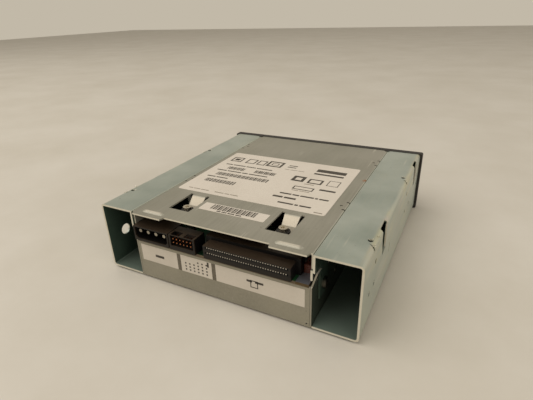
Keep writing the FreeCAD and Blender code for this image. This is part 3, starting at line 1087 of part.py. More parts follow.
def guide_arms():
    """The two arms that draw the tape round the drum, with pinion, pin and roller."""
    top = f"({DECK} - arm_gap)"
    low = f"({top} - arm_t)"
    tip = ("arm_len", "0")
    pinion_z = (SLIDE, f"{SLIDE} + wheel_face")
    plate = prism("arm_plate", "z", [
        ("0", "-arm_half"), ("arm_len", "-guide_r * 0.6"), ("arm_len", "guide_r * 0.6"),
        ("0", "arm_half")], (low, top))
    roller_top = "(guide_low + guide_len)"
    steps = [rod("arm_hub", CENTRE, (f"{low} - arm_t", top), "arm_half + reel_up"),
             rod("arm_shaft", CENTRE, (low, f"{pinion_z[1]} + reel_up"), "journal_r"),
             rod("arm_end", tip, (low, top), "guide_r * 0.7"),
             rod("guide_pin", tip, ("guide_low - tip_clear", top), "guide_pin_r"),
             rod("guide_foot", tip, ("guide_low - tip_clear", "guide_low - tip_clear / 5"),
                 "guide_pin_r * 1.8"),
             rod("guide_collar", tip, (f"{roller_top} + tip_clear / 5", low), "guide_pin_r * 1.8")]
    gap_turn = 180 + 180 / value("arm_teeth") - value("arm_angle")
    pinion = formed("arm_pinion", gear_shape(value("rack_module"), int(value("arm_teeth")),
                                             value("wheel_face"), 0, gap_turn), z=SLIDE)
    arm = swung(fuse("supply_arm", plate, *steps, pinion), "arm_x", ARM_Y, "arm_angle")
    node(arm)
    node(mirrored("takeup_arm", arm))
    flange = "guide_r * 0.2"
    roller = turned("guide_roller", tip, [
        ("guide_r", "guide_low", f"guide_low + {flange}"),
        ("guide_r * 0.85", f"guide_low + {flange}", f"{roller_top} - {flange}"),
        ("guide_r", f"{roller_top} - {flange}", roller_top)], "guide_pin_r + run_fit")
    supply = swung(group("supply_roller", roller), "arm_x", ARM_Y, "arm_angle")
    node(supply)
    node(mirrored("takeup_roller", supply))


def threading_slide():
    """The slide with a rack at each end, three slots and the pin that the cam's groove draws."""
    z = (SLIDE, f"{SLIDE} + slide_t")
    front = f"({ARM_Y} - slide_front)"
    root = f"({PITCH_LINE} - 1.25 * rack_module)"
    pieces = [block("slide_bar", (f"-{root}", root), (front, f"{front} + slide_depth"), z)]
    for name, side in SIDES.items():
        x = side_span(side, f"{root} - rack_arm_w", root)
        pieces.append(block(f"{name}_rack_arm", x, (f"{front} - rack_arm_w", f"{front} + 1"), z))
        for i in range(int(value("rack_teeth"))):
            middle = f"({ARM_Y} + {1 - i} * pi * rack_module)"
            thick = "(pi * rack_module / 4 - backlash / 4)"
            wide = f"({thick} + 1.25 * rack_module * tan(20))"
            narrow = f"({thick} - rack_module * tan(20))"
            pieces.append(prism(f"{name}_rack_tooth{i}", "z", [
                (side_at(side, f"{root} - 0.05"), f"{middle} - {wide}"),
                (side_at(side, root), f"{middle} - {wide}"),
                (side_at(side, f"{PITCH_LINE} + rack_module"), f"{middle} - {narrow}"),
                (side_at(side, f"{PITCH_LINE} + rack_module"), f"{middle} + {narrow}"),
                (side_at(side, root), f"{middle} + {wide}"),
                (side_at(side, f"{root} - 0.05"), f"{middle} + {wide}")], z))
    pin_y = f"({CAM_Y} - cam_groove_r)"
    pieces.append(block("slide_tab", about("-cam_x", "2 * guide_r"),
                        (f"{front} + slide_depth - 1", f"{pin_y} + groove_w"), z))
    pin = rod("slide_pin", ("-cam_x", pin_y), (z[1], f"{CAM} + groove_deep - deck_gap / 2"),
              "groove_w / 2 - wall_gap")
    slots = []
    through = (f"{z[0]} - 1", f"{z[1]} + 1")
    for name, side in SIDES.items():
        x = side_at(side, "guide_stud_x")
        start, end = f"({STUD_Y} - slide_travel)", STUD_Y
        for i, y in enumerate((start, end)):
            slots.append(rod(f"{name}_slot_end{i}", (x, y), through, "stud_r + screw_fit"))
        slots.append(block(f"{name}_slot", about(x, "2 * (stud_r + screw_fit)"), (start, end),
                           through))
    bar = cut("slide_slotted", fuse("slide_bars", *pieces), *slots)
    node(fuse("threading_slide", bar, pin))


STUD_Y = f"({ARM_Y} + slide_front + 0.1)"
TRAIN_REACH = "(cam_module * (cam_teeth + small_teeth) / 2)"
TRAIN_X = f"(-cam_x + {TRAIN_REACH} * cos(train_angle))"
TRAIN_Y = f"({CAM_Y} + {TRAIN_REACH} * sin(train_angle))"
MOTOR_Y = f"({TRAIN_Y} - rack_module * (big_teeth + pinion_teeth) / 2)"


def cam_groove(height):
    """The spiral groove that turns the cam's rotation into the slide's travel."""
    start, travel = value("cam_groove_r"), value("slide_travel")
    turn, half = value("cam_turn"), value("groove_w / 2")
    edges = []
    ends = []
    for side in (1, -1):
        points = [polar(start - travel * k / 24 + side * half, -90 - turn * k / 24)
                  for k in range(25)]
        curve = Part.BSplineCurve()
        curve.interpolate(points)
        edges.append(curve.toShape())
        ends.append(points)
    edges.append(Part.makeLine(ends[0][0], ends[1][0]))
    edges.append(Part.makeLine(ends[0][-1], ends[1][-1]))
    band = Part.Face(Part.Wire(Part.__sortEdges__(edges))).extrude(Vector(0, 0, height))
    rounds = [Part.makeCylinder(half, height, polar(r, angle))
              for r, angle in ((start, -90), (start - travel, -90 - turn))]
    return band.fuse(rounds)


def gear_train():
    """The cam gear, the double gear, the motor's pinion and the studs they turn on."""
    fine, coarse = value("rack_module"), value("cam_module")
    angle = value("train_angle")
    small, pinion = value("small_teeth"), value("pinion_teeth")
    face, bore = value("wheel_face"), value("stud_r + run_fit")
    wheel = gear_shape(coarse, int(value("cam_teeth")), value("cam_t"),
                       value("cam_stud_r + run_fit"), angle)
    grooved = wheel.cut(cam_groove(value("groove_deep")))
    node(formed("cam_gear", grooved, "-cam_x", CAM_Y, CAM))
    low = gear_shape(coarse, int(small), value(f"{TRAIN} - {CAM}"), bore,
                     angle + 180 + 180 / small)
    high = gear_shape(fine, int(value("big_teeth")), face, bore, -90)
    high.translate(Vector(0, 0, value(f"{TRAIN} - {CAM}")))
    node(formed("intermediate_gear", low.fuse(high).removeSplitter(), TRAIN_X, TRAIN_Y, CAM))
    teeth = formed("pinion_teeth", gear_shape(fine, int(pinion), face, 0, 90 + 180 / pinion),
                   TRAIN_X, MOTOR_Y, TRAIN)
    shaft = rod("pinion_shaft", (TRAIN_X, MOTOR_Y),
                (f"{TRAIN} - air_gap / 2", f"{PLATE} + bracket_plate + motor_len / 3"),
                "motor_shaft_r")
    node(fuse("motor_pinion", teeth, shaft))
    cap = (f"{TRAIN} - 0.8 * air_gap", f"{TRAIN} + air_gap / 2")
    studs = [turned("cam_stud", ("-cam_x", CAM_Y),
                    [("cam_stud_r", DECK_BACK, cap[0]), ("1.5 * cam_stud_r", *cap)]),
             rod("train_stud", (TRAIN_X, TRAIN_Y), (DECK_BACK, f"{TRAIN} + wheel_face + air_gap"),
                 "stud_r"),
             rod("pinch_stud", ("-pinch_x", PINCH_Y),
                 (f"{DECK} - 2 * pinch_arm_up", DECK), "stud_r")]
    for name, side in SIDES.items():
        studs.append(turned(f"{name}_slide_stud", (side_at(side, "guide_stud_x"), STUD_Y), [
            ("stud_r", DECK_BACK, f"{CAM} - 0.1"), ("1.8 * stud_r", f"{CAM} - 0.1",
                                                    f"{CAM} + reel_up - 0.1")]))
    node(group("deck_studs", *studs))


def loading_motor():
    """The bracket over the capstan's wheel and the gear train, and the motor that stands on it."""
    z = (PLATE, f"{PLATE} + bracket_plate")
    left, right = "(-bracket_side)", "(-bracket_in)"
    back = f"{MIDDLE} + bracket_back"
    plate = block("bracket_top", (left, right), (f"{MIDDLE} - bracket_front", back), z)
    foot_y = (f"{MIDDLE} + foot_back", back)
    side_leg = block("bracket_side_leg", (left, f"{left} + arm_t"), foot_y,
                     (DECK_BACK, f"{PLATE} + 0.1"))
    side_foot = block("bracket_side_foot", (left, f"{left} + foot_back"), foot_y,
                      (DECK_BACK, f"{DECK_BACK} + bracket_plate"))
    front_leg = block("bracket_front_leg", (f"{left} + arm_half", f"-reel_x - reel_r - arm_half"),
                      (f"{MIDDLE} - bracket_front", f"{MIDDLE} - bracket_front + arm_t"),
                      (DECK_BACK, f"{PLATE} + 0.1"))
    hole = rod("shaft_hole", (TRAIN_X, MOTOR_Y), (f"{z[0]} - 1", f"{z[1]} + 1"),
               "motor_shaft_r + notch_gap")
    node(cut("motor_bracket", fuse("bracket_whole", plate, side_leg, side_foot, front_leg), hole))
    can = rod("motor_can", (TRAIN_X, MOTOR_Y), (z[1], f"{z[1]} + motor_len"), "motor_r")
    bore = rod("motor_bore", (TRAIN_X, MOTOR_Y), (f"{z[1]} - 1", f"{z[1]} + motor_len / 2"),
               "motor_shaft_r + screw_fit")
    node(cut("loading_motor", can, bore))


# ---------------------------------------------------------------------------- carriage
WALL_OUT = "(cassette_w / 2 + cassette_side + basket_t)"
BASKET_FRONT = f"({BACK} + basket_front)"


def basket():
    """The cassette basket with its side shelves and the pins that ride in the slides."""
    rear = f"({BASKET_FRONT} + basket_len)"
    wall_top = f"({SHELF} + basket_t)"
    tray = block("basket_tray", (f"-{WALL_OUT}", WALL_OUT), (BASKET_FRONT, rear),
                 (BASKET, f"{BASKET} + basket_t"))
    window = block("basket_window", ("-reel_x", "reel_x"), about(
        f"({BASKET_FRONT} + {rear}) / 2", "basket_len / 2"), (f"{BASKET} - 1", f"{BASKET} + 2"))
    pieces = [cut("basket_tray_open", tray, window)]
    for name, side in SIDES.items():
        pieces.append(block(f"{name}_basket_wall", side_span(side, f"{WALL_OUT} - basket_t",
                                                             WALL_OUT),
                            (BASKET_FRONT, rear), (BASKET, wall_top)))
        shelf = f"({BASKET_FRONT} + shelf_front)"
        pieces.append(block(f"{name}_shelf", side_span(side, f"{WALL_OUT} - shelf_w", WALL_OUT),
                            (shelf, f"{shelf} + shelf_len"), (SHELF, wall_top)))
        for i, y in enumerate(pin_places()):
            pieces.append(rod(f"{name}_basket_pin{i}", (y, PIN_Z),
                              side_span(side, f"{WALL_OUT} - 0.1",
                                        f"{WALL_OUT} + slide_gap + slide_plate"),
                              "cam_pin_r", "x"))
    node(fuse("cassette_basket", *pieces))


PIN_Z = f"({BASKET} + cassette_t / 2 + 1.25 * basket_t)"


def pin_places():
    """How far along Y the basket's two pins on each side sit."""
    first = f"({BASKET_FRONT} + pin_inset)"
    return (first, f"({first} + pin_span)")


def carriage():
    """The plates that slide along the deck's underside and lift the basket, and their guides."""
    inner = f"({WALL_OUT} + slide_gap)"
    outer = f"({inner} + slide_plate)"
    rear = f"({BASKET_FRONT} + basket_len)"
    top = f"({DECK} - arm_gap)"
    fit = "(cam_pin_r + screw_fit)"
    slides, guides = [], []
    for name, side in SIDES.items():
        plate = block(f"{name}_slide_plate", side_span(side, inner, outer), (BASKET_FRONT, rear),
                      (f"{BASKET} + 1.5 * basket_t", top))
        foot = block(f"{name}_slide_foot", side_span(side, f"{outer} - 0.1", f"{outer} + foot_w"),
                     (f"{rear} - foot_len", rear), (f"{top} - foot_t", top))
        slots = []
        across = side_span(side, f"{inner} - 1", f"{outer} + 1")
        for i, y in enumerate(pin_places()):
            for j, z in enumerate((PIN_Z, f"{PIN_Z} + carriage_drop")):
                slots.append(rod(f"{name}_slide_slot_end{i}{j}", (y, z), across, fit, "x"))
            slots.append(block(f"{name}_slide_slot{i}", across, about(y, f"2 * {fit}"),
                               (PIN_Z, f"{PIN_Z} + carriage_drop")))
        slides.append(cut(f"{name}_slide", fuse(f"{name}_slide_whole", plate, foot), *slots))
        low = f"({top} - foot_t - arm_gap)"
        wall_in = f"({outer} + foot_w + arm_gap)"
        wall_out = f"({wall_in} + rail_wall)"
        end = f"({ARM_Y} - arm_half - reel_up - guide_clear)"
        y = (f"{end} - deck_gap - carriage_draw - foot_len - 1", end)
        lip = block(f"{name}_guide_lip", side_span(side, f"{outer} + deck_gap", wall_out), y,
                    (f"{low} - rail_lip", low))
        wall = block(f"{name}_guide_wall", side_span(side, wall_in, wall_out), y,
                     (f"{low} - rail_lip", DECK))
        guides.append(fuse(f"{name}_guide", lip, wall))
    node(group("carriage_slides", *slides))
    node(group("carriage_guides", *guides))


# ---------------------------------------------------------------------------- build
bottom_cover()
top_cover()
bracket("left", SIDES["left"], "access_r")
bracket("right", SIDES["right"], "small_access_r")
bezel()
door()
front_panel(eject_parts())
labels()
rails()
deck()
case_screws()
main_board()
power_socket()
signal_sockets()
capstan(head_drum())
bearings()
pinch()
reels()
guide_arms()
threading_slide()
gear_train()
loading_motor()
basket()
carriage()

doc.recompute()
for thing in doc.Objects:
    if "Invalid" in thing.State or "Error" in thing.State:
        raise RuntimeError(f"{thing.Name} did not recompute: {thing.State}")
for thing in nodes:
    if thing.Shape.isNull() or not thing.Shape.isValid() or not thing.Shape.Solids:
        raise RuntimeError(f"{thing.Label} is not a sound solid")
os.makedirs("parts", exist_ok=True)
for thing in nodes:
    thing.Shape.exportStep(f"parts/{thing.Label}.step")
print(len(nodes), "pieces")
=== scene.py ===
# %% [markdown]
# # A data tape drive in its wide-bay brackets
#
# The drive is a folded steel case, 101.6 mm wide, between two folded brackets that widen
# it to a 146 mm bay. It lies on its lid, so its rear wall, with the sockets, stands the
# wrong way up. Nearly all of it is sheet metal, mouldings and turned parts whose shapes
# are exact, so the solid parts stay as they are and get their finishes here. Three kinds
# of piece are added: print on the labels, burrs on the brackets, and a coil in place of
# the eject key's spring, because that spring has to shorten.

import math

import bmesh
import bpy
from mathutils import Matrix, Vector


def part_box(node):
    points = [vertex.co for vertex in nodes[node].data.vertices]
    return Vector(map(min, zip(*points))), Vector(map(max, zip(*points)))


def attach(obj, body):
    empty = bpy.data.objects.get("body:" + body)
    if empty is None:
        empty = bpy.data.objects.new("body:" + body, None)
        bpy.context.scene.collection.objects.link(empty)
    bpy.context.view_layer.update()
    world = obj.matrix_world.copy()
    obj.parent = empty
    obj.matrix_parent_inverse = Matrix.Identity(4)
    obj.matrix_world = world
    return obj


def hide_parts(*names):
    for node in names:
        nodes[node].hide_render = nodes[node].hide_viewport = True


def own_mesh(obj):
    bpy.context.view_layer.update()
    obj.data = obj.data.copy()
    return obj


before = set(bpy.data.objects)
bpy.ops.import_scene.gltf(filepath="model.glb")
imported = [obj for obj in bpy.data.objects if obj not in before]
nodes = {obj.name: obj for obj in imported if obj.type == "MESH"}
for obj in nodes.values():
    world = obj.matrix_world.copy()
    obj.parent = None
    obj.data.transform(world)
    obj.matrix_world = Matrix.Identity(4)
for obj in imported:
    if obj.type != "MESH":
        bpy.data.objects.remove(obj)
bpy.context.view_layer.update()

# %% [markdown]
# ## The view
#
# A camera can be aimed with a Track To constraint, but the horizon here leans by about two
# degrees, so its three axes are worked out once and written straight into its matrix.
# The lens is short, because the drive is seen from close by.

# %% Camera
MM = 0.001
CAMERA_AT = Vector((-100.54, 209.76, 134.15)) * MM
CAMERA_TO = Vector((-0.03, 19.07, 32.43)) * MM
CAMERA_LEAN = math.radians(-1.89)
LENS, SENSOR, NEAREST = 27.1, 36, 0.01

forward = (CAMERA_TO - CAMERA_AT).normalized()
level = forward.cross(Vector((0, 0, 1))).normalized()
rise = level.cross(forward)
across = math.cos(CAMERA_LEAN) * level + math.sin(CAMERA_LEAN) * rise
upward = math.cos(CAMERA_LEAN) * rise - math.sin(CAMERA_LEAN) * level
lens = bpy.data.cameras.new("view")
lens.lens = LENS
lens.sensor_width = SENSOR
lens.clip_start = NEAREST
camera = bpy.data.objects.new("view", lens)
camera.matrix_world = Matrix.Translation(CAMERA_AT) @ Matrix(
    (across, upward, -forward)).transposed().to_4x4()
bpy.context.scene.collection.objects.link(camera)
bpy.context.scene.camera = camera
bpy.context.scene.view_settings.view_transform = "Standard"
print("camera", round((CAMERA_TO - CAMERA_AT).length, 3), "m from the drive")

# %% [markdown]
# ## Wiring a finish
#
# Every finish is one Principled shader fed by a few noise patterns. The patterns read
# Object coordinates, which are metres on these parts, so a scale of 1000 is a pattern
# about a millimetre wide. A small class keeps the wiring short: each method adds one node
# and returns its output, and a value given as a socket is linked rather than set.

# %% A class that wires finishes
FADE = 0.05  # mm over which a painted edge changes
CORE = 0.4  # the share of a spot's reach that shows in full


def colour(code):
    """A colour written as #rrggbb, in the linear values that nodes use."""
    parts = [int(code[i:i + 2], 16) / 255 for i in (1, 3, 5)]
    return [c / 12.92 if c <= 0.04045 else ((c + 0.055) / 1.055) ** 2.4 for c in parts] + [1.0]


class Finish:
    """A material while it is wired: each method adds a node and returns its output."""

    def __init__(self, name, **sockets):
        self.material = bpy.data.materials.new(name)
        self.material.use_nodes = True
        self.tree = self.material.node_tree
        self.shader = self.tree.nodes["Principled BSDF"]
        coordinates = self.tree.nodes.new("ShaderNodeTexCoord")
        self.place, self.normal = coordinates.outputs["Object"], coordinates.outputs["Normal"]
        self.set(**sockets)

    def put(self, socket, value):
        """Links a socket to a value that is itself a socket, or sets it."""
        if isinstance(value, bpy.types.NodeSocket):
            self.tree.links.new(value, socket)
        else:
            socket.default_value = value

    def set(self, **sockets):
        """Fills the shader's sockets; base_color stands for Base Color, and so on."""
        names = {s.name.lower().replace(" ", "_"): s for s in self.shader.inputs}
        for name, value in sockets.items():
            self.put(names[name], value)

    def add(self, kind, sockets, output=0, **settings):
        """One node, its input sockets by name or number, and its output."""
        made = self.tree.nodes.new("ShaderNode" + kind)
        for name, value in settings.items():
            setattr(made, name, value)
        for name, value in sockets.items():
            self.put(made.inputs[name], value)
        return made.outputs[output]

    def noise(self, scale, stretch=(1, 1, 1), turn=(0, 0, 0), detail=4, rough=0.55):
        """Cloudy noise, from 0 to 1; stretch makes it streaky and turn leans the streaks."""
        where = self.add("Mapping", {"Vector": self.place, "Scale": stretch, "Rotation": turn})
        return self.add("TexNoise", {"Vector": where, "Scale": scale, "Detail": detail,
                                     "Roughness": rough})

    def span(self, value, low, high, start=0.0, end=1.0):
        """Stretches low...high of a value over start...end, and clamps it there."""
        return self.add("MapRange", {"Value": value, "From Min": low, "From Max": high,
                                     "To Min": start, "To Max": end})

    def blend(self, share, first, second):
        """Mixes two colours by a share."""
        return self.add("Mix", {0: share, 6: first, 7: second}, output=2, data_type="RGBA")

    def laid(self, under, amount, share, code):
        """Lays a colour over another; where amount is 1, this share of it shows."""
        return self.blend(self.times(amount, share), under, colour(code))

    def sum(self, first, second, kind="ADD"):
        """Two numbers added, or whatever kind says."""
        return self.add("Math", {0: first, 1: second}, operation=kind)

    def times(self, first, second):
        """Two numbers multiplied, which keeps what both of them have."""
        return self.sum(first, second, "MULTIPLY")

    def unsigned(self, value):
        """A number without its sign, which makes both sides of the drive alike."""
        return self.sum(value, 0.0, "ABSOLUTE")

    def rest_of(self, share):
        """What is left of a share, 1 minus it."""
        return self.sum(1.0, share, "SUBTRACT")

    def at(self, axis):
        """How far along an axis a point lies, in metres; 0, 1 and 2 are X, Y and Z."""
        return self.add("SeparateXYZ", {"Vector": self.place}, output=axis)

    def side(self, axis):
        """How much a face looks along an axis, from -1 to 1."""
        return self.add("SeparateXYZ", {"Vector": self.normal}, output=axis)

    def beyond(self, axis, level):
        """1 where a point lies more than level mm along an axis, 0 below it."""
        return self.span(self.at(axis), (level - FADE) * MM, level * MM)

    def near(self, point, reach):
        """1 at a point given in mm, fading to 0 at the reach in mm."""
        away = self.add("VectorMath", {0: self.place, 1: [v * MM for v in point]}, output=1,
                        operation="DISTANCE")
        return self.span(away, reach * MM, CORE * reach * MM)

    def patch(self, middle, reach, soft=0.25):
        """1 in a soft-edged box on both sides of X = 0; middle and half sizes are in mm.

        An axis whose half size is None is left out."""
        share = 1.0
        for axis, (place, half) in enumerate(zip(middle, reach)):
            if half is None:
                continue
            along = self.at(axis) if axis else self.unsigned(self.at(0))
            away = self.unsigned(self.sum(along, place * MM, "SUBTRACT"))
            share = self.times(
                share, self.span(away, (half + soft) * MM, (half - soft) * MM))
        return share

    def bump(self, height, depth):
        """Fine relief, depth in metres."""
        normal = self.add("Bump", {"Height": height, "Distance": depth, "Strength": 1.0})
        self.set(normal=normal)

    def wear(self, name, *pieces):
        """Gives the material to pieces, which are objects or node names; name is not used."""
        for piece in pieces:
            piece = nodes.get(piece, piece) if isinstance(piece, str) else piece
            if not piece.data.materials:
                piece.data.materials.append(self.material)
            for slot in piece.material_slots:
                slot.material = self.material


print("finish class ready")

# %% [markdown]
# ## The plain setting
#
# The drive lies on a pale table in soft warm light. One large lamp above and behind the
# camera's left shoulder gives the soft shadow on the right, a weaker one fills the dark
# side, and the world adds an even level, so that each colour shows about as it is written.
# A backdrop would hide the drive from the other sides, so the world itself is the pale wall
# behind it: the camera and the metal see it brighter than it lights.

# %% Table
TABLE_SIZE = 6.0


def settle(elements):
    """Orders the parts of a mesh by where they lie, so that every run numbers them alike."""
    def place(element):
        return sorted(corner.co[:] for corner in getattr(element, "verts", [element]))

    ranks = {element: rank for rank, element in enumerate(sorted(elements, key=place))}
    elements.sort(key=ranks.get)


def made_piece(name, shape):
    """Turns a finished bmesh into an object, and links it to the scene."""
    for elements in (shape.verts, shape.edges, shape.faces):
        settle(elements)
    mesh = bpy.data.meshes.new(name)
    shape.to_mesh(mesh)
    shape.free()
    piece = bpy.data.objects.new(name, mesh)
    bpy.context.scene.collection.objects.link(piece)
    return piece


shape = bmesh.new()
bmesh.ops.create_grid(shape, x_segments=1, y_segments=1, size=TABLE_SIZE / 2)
table = made_piece("table", shape)

stone = Finish("table_top", roughness=0.55)
veins = stone.span(stone.noise(9, detail=6, rough=0.62), 0.35, 0.7)
stone.set(base_color=stone.blend(veins, colour("#c9c4b9"), colour("#bfb9ac")))
stone.wear("table", table)
print("table", TABLE_SIZE, "m wide")

# %% Lamps
WARM = (1.0, 0.955, 0.9)
DRIVE_MIDDLE = Vector((0, 0, 0.02))


def soft_lamp(name, place, size, watts):
    """A square lamp that looks at the middle of the drive."""
    data = bpy.data.lights.new(name, "AREA")
    data.size = size
    data.energy = watts
    data.color = WARM
    lamp = bpy.data.objects.new(name, data)
    lamp.location = place
    toward = DRIVE_MIDDLE - lamp.location
    lamp.rotation_euler = toward.to_track_quat("-Z", "Y").to_euler()
    bpy.context.scene.collection.objects.link(lamp)


soft_lamp("key_lamp", Vector((0.8, 0.6, 1.6)), size=1.9, watts=27)
soft_lamp("fill_lamp", Vector((-1.5, 0.6, 0.9)), size=1.4, watts=11)
print("two lamps")

# %% Sky
SKY_LIGHT, SKY_LEVEL = "#c8c0b4", 0.75  # what lights the drive
SKY_SEEN = "#c2b9a8"  # what the camera and the metal see
sky = bpy.data.worlds.new("sky")
sky.use_nodes = True
sky_nodes, sky_links = sky.node_tree.nodes, sky.node_tree.links
rays = sky_nodes.new("ShaderNodeLightPath")
seen = rays.outputs["Is Camera Ray"]
for ray in ("Is Glossy Ray", "Is Transmission Ray"):
    either = sky_nodes.new("ShaderNodeMath")
    either.operation = "MAXIMUM"
    sky_links.new(seen, either.inputs[0])
    sky_links.new(rays.outputs[ray], either.inputs[1])
    seen = either.outputs[0]
choose = sky_nodes.new("ShaderNodeMix")
choose.data_type = "RGBA"
choose.inputs[6].default_value = [SKY_LEVEL * c for c in colour(SKY_LIGHT)]
choose.inputs[7].default_value = colour(SKY_SEEN)
sky_links.new(seen, choose.inputs[0])
sky_links.new(choose.outputs[2], sky_nodes["Background"].inputs["Color"])
bpy.context.scene.world = sky
print("an even sky at", SKY_LEVEL)

# %% [markdown]
# ## Plated sheet
#
# The case and the brackets are zinc-plated steel. The plating is a dull grey that is never
# one colour: it clouds over, has a fine grain along the coil it was cut from, takes light
# scratches, and on the brackets blooms a little yellow and green. Sheet that was cut after
# plating shows bright bare edges. A plain metal shader would mirror the room, so the metal
# is only partly metallic and rather rough.

# %% Plated sheet
# What lies over the plating, each with the share of it that shows and its colour.
GRAIN = (0.14, "#b3b09f")
SCRATCHES = (0.28, "#d3cfbf")
SPECKS = (0.4, "#575243")
# a painted highlight along the bends, where the sheet turns between X and Z
BEND_HIGHLIGHT = (0.45, "#cfcebf")
CUT_EDGES = (0.85, "#dfd9c8")
SCRATCH_RUNS = ((0.3, 300), (1.35, 520), (2.2, 380), (2.75, 610))  # lean, fineness
GRAIN_ROUGH, GRAIN_RELIEF, SHEET_RELIEF = 0.4, 0.3, 0.00002


def plated(name, deep, pale, bloom, bloom_share, metallic, rough, edge_axis,
           edge_above=0.0):
    """Zinc-plated sheet: clouds, grain, scratches, bloom, a painted highlight on the bends,
    cut edges.

    Cut edges are the faces that look along edge_axis and lie above edge_above, in mm."""
    zinc = Finish(name, metallic=metallic)
    clouds = zinc.span(zinc.noise(28, detail=5), 0.36, 0.64)
    grain = zinc.span(zinc.noise(900, stretch=(1, 0.04, 1), detail=3), 0.35, 0.65)
    shade = zinc.blend(clouds, colour(deep), colour(pale))
    shade = zinc.laid(shade, grain, *GRAIN)
    bloomed = zinc.noise(19, stretch=(1, 0.5, 1), detail=6, rough=0.6)
    shade = zinc.laid(shade, zinc.span(bloomed, 0.5, 0.72), bloom_share, bloom)
    marks = []
    for lean, fineness in SCRATCH_RUNS:
        streaks = zinc.noise(fineness, stretch=(1, 0.035, 0.35), turn=(0.2, 0, lean),
                             detail=1)
        marks.append(zinc.span(streaks, 0.735, 0.755))
    scratches = zinc.sum(zinc.sum(marks[0], marks[1], "MAXIMUM"),
                         zinc.sum(marks[2], marks[3], "MAXIMUM"), "MAXIMUM")
    scratches = zinc.times(scratches, zinc.span(zinc.noise(22, detail=3), 0.5, 0.6))
    shade = zinc.laid(shade, scratches, *SCRATCHES)
    shade = zinc.laid(shade, zinc.span(zinc.noise(640, detail=2), 0.71, 0.75), *SPECKS)
    # Painted highlight: faces halfway between X and Z, on the bends, are painted lighter.
    bend_highlight = zinc.times(zinc.times(zinc.side(0), zinc.side(2)), 2.0)
    shade = zinc.laid(shade, zinc.times(bend_highlight, bend_highlight), *BEND_HIGHLIGHT)
    cut_edge = zinc.span(zinc.unsigned(zinc.side(edge_axis)), 0.9, 0.99)
    cut_edge = zinc.times(cut_edge, zinc.beyond(2, edge_above))
    zinc.skin = zinc.laid(shade, cut_edge, *CUT_EDGES)
    uneven = zinc.sum(clouds, zinc.times(grain, GRAIN_ROUGH))
    zinc.set(base_color=zinc.skin,
             roughness=zinc.span(uneven, 0, 1 + GRAIN_ROUGH, rough - 0.06, rough + 0.08))
    relief = zinc.sum(zinc.times(grain, GRAIN_RELIEF), scratches, "SUBTRACT")
    zinc.bump(relief, SHEET_RELIEF)
    return zinc


print("plating ready")

# %% [markdown]
# ### The covers
#
# The plate has details finer than its solid: a spot of rust at one edge, a painted highlight
# on the crowns of the two ribs, painted light on the sloped floors of the tabs, and two slits
# and a dot at each of its side legs, painted dark as painted shade. They could be cut into
# the solid, but at this size only their colour is seen, so they are painted. The can is
# darker where the brackets shade its sides.

# %% The covers
# Painted boxes are (middle, half sizes, softness) in mm, on both sides of X = 0.
RUST_AT, RUST_REACH, RUST = (-50.4, -12, 41), 2.2, "#8f5a2c"
# a painted highlight on the crowns of the two ribs
RIB_HIGHLIGHT = ((38.5, 72.3, 41.6), (5.2, 0.7, 0.6), 0.8)
# painted light on the tabs' sloped floors, which face the light
TAB_SLOPE_LIGHT = ((28.6, 54, 39), (4.6, 8, 1.8), 0.3)
LEG_Y, PLATE_Z = (25.7, -44.3), 41
# the slits and dots are painted near-black, as painted shade in them
SLIT_X, SLIT_BEHIND, SLIT_AHEAD, SLIT_HALF = 50.1, 4.25, 4.75, (1.1, 0.45, 1.5)
DOT_X, DOT_HALF = 47.6, (0.7, 0.5, 1.5)

plate = plated("plate_zinc", deep="#848275", pale="#918e82", bloom="#87866f",
               bloom_share=0.25, metallic=0.35, rough=0.42, edge_axis=1)
rust = plate.near(RUST_AT, RUST_REACH)
rust = plate.times(rust, plate.span(plate.noise(900), 0.35, 0.55))
skin = plate.blend(rust, plate.skin, colour(RUST))
# Painted highlight on the rib crowns.
skin = plate.laid(skin, plate.patch(*RIB_HIGHLIGHT), 0.7, "#ece4d2")
# Painted light: the tabs' sloped floors are painted paler.
skin = plate.laid(skin, plate.patch(*TAB_SLOPE_LIGHT), 0.5, "#c9bda9")
# Painted shade: each slit and each dot is a dark patch.
for leg in LEG_Y:
    for slit in (leg + SLIT_BEHIND, leg - SLIT_AHEAD):
        gap = plate.patch((SLIT_X, slit, PLATE_Z), SLIT_HALF, 0.2)
        skin = plate.blend(gap, skin, colour("#1c1913"))
    dot = plate.patch((DOT_X, leg, PLATE_Z), DOT_HALF, 0.3)
    skin = plate.blend(dot, skin, colour("#2a261d"))
plate.set(base_color=skin)
plate.wear("plate", "bottom_cover")

EDGE_BELOW_BOARD, CAN_SIDE_X = 0.5, 50.6
wall_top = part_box("main_board")[0].z / MM - EDGE_BELOW_BOARD
can = plated("can_zinc", deep="#888476", pale="#969182", bloom="#8c8a72", bloom_share=0.25,
             metallic=0.35, rough=0.42, edge_axis=2, edge_above=wall_top)
sideways = can.sum(can.unsigned(can.side(0)), 0.9, "GREATER_THAN")
outer = can.sum(can.unsigned(can.at(0)), CAN_SIDE_X * MM, "GREATER_THAN")
can.set(base_color=can.blend(can.times(sideways, outer), can.skin, colour("#3d443a")))
can.wear("can", "top_cover")
print("covers plated; cut edges above", round(wall_top, 1), "mm on the can")

# %% [markdown]
# ### The brackets
#
# The brackets are plated too, but passivated: a bluish green that turns yellow and pink in
# runs down their sides, where the bath drained. Inside the channels the coat is painted a
# much darker green as painted shade, and paler on the faces there that look up, as painted
# light. A bracket is 1 mm thick, so a finish can tell inside from outside by how far a point
# lies from the outer faces.

# %% Bracket finish
RUNS_IN, RUNS_OUT = 3.0, 0.5  # mm in from the outer wall where the runs fade out and in
DRAIN_LOW, DRAIN_HIGH = 22, 4  # mm below the top
SEAM_OUT, SEAM_EDGE, SEAM_ABOVE = 1.0, 0.5, 40.5
WALL, STEP = 0.7, 0.1

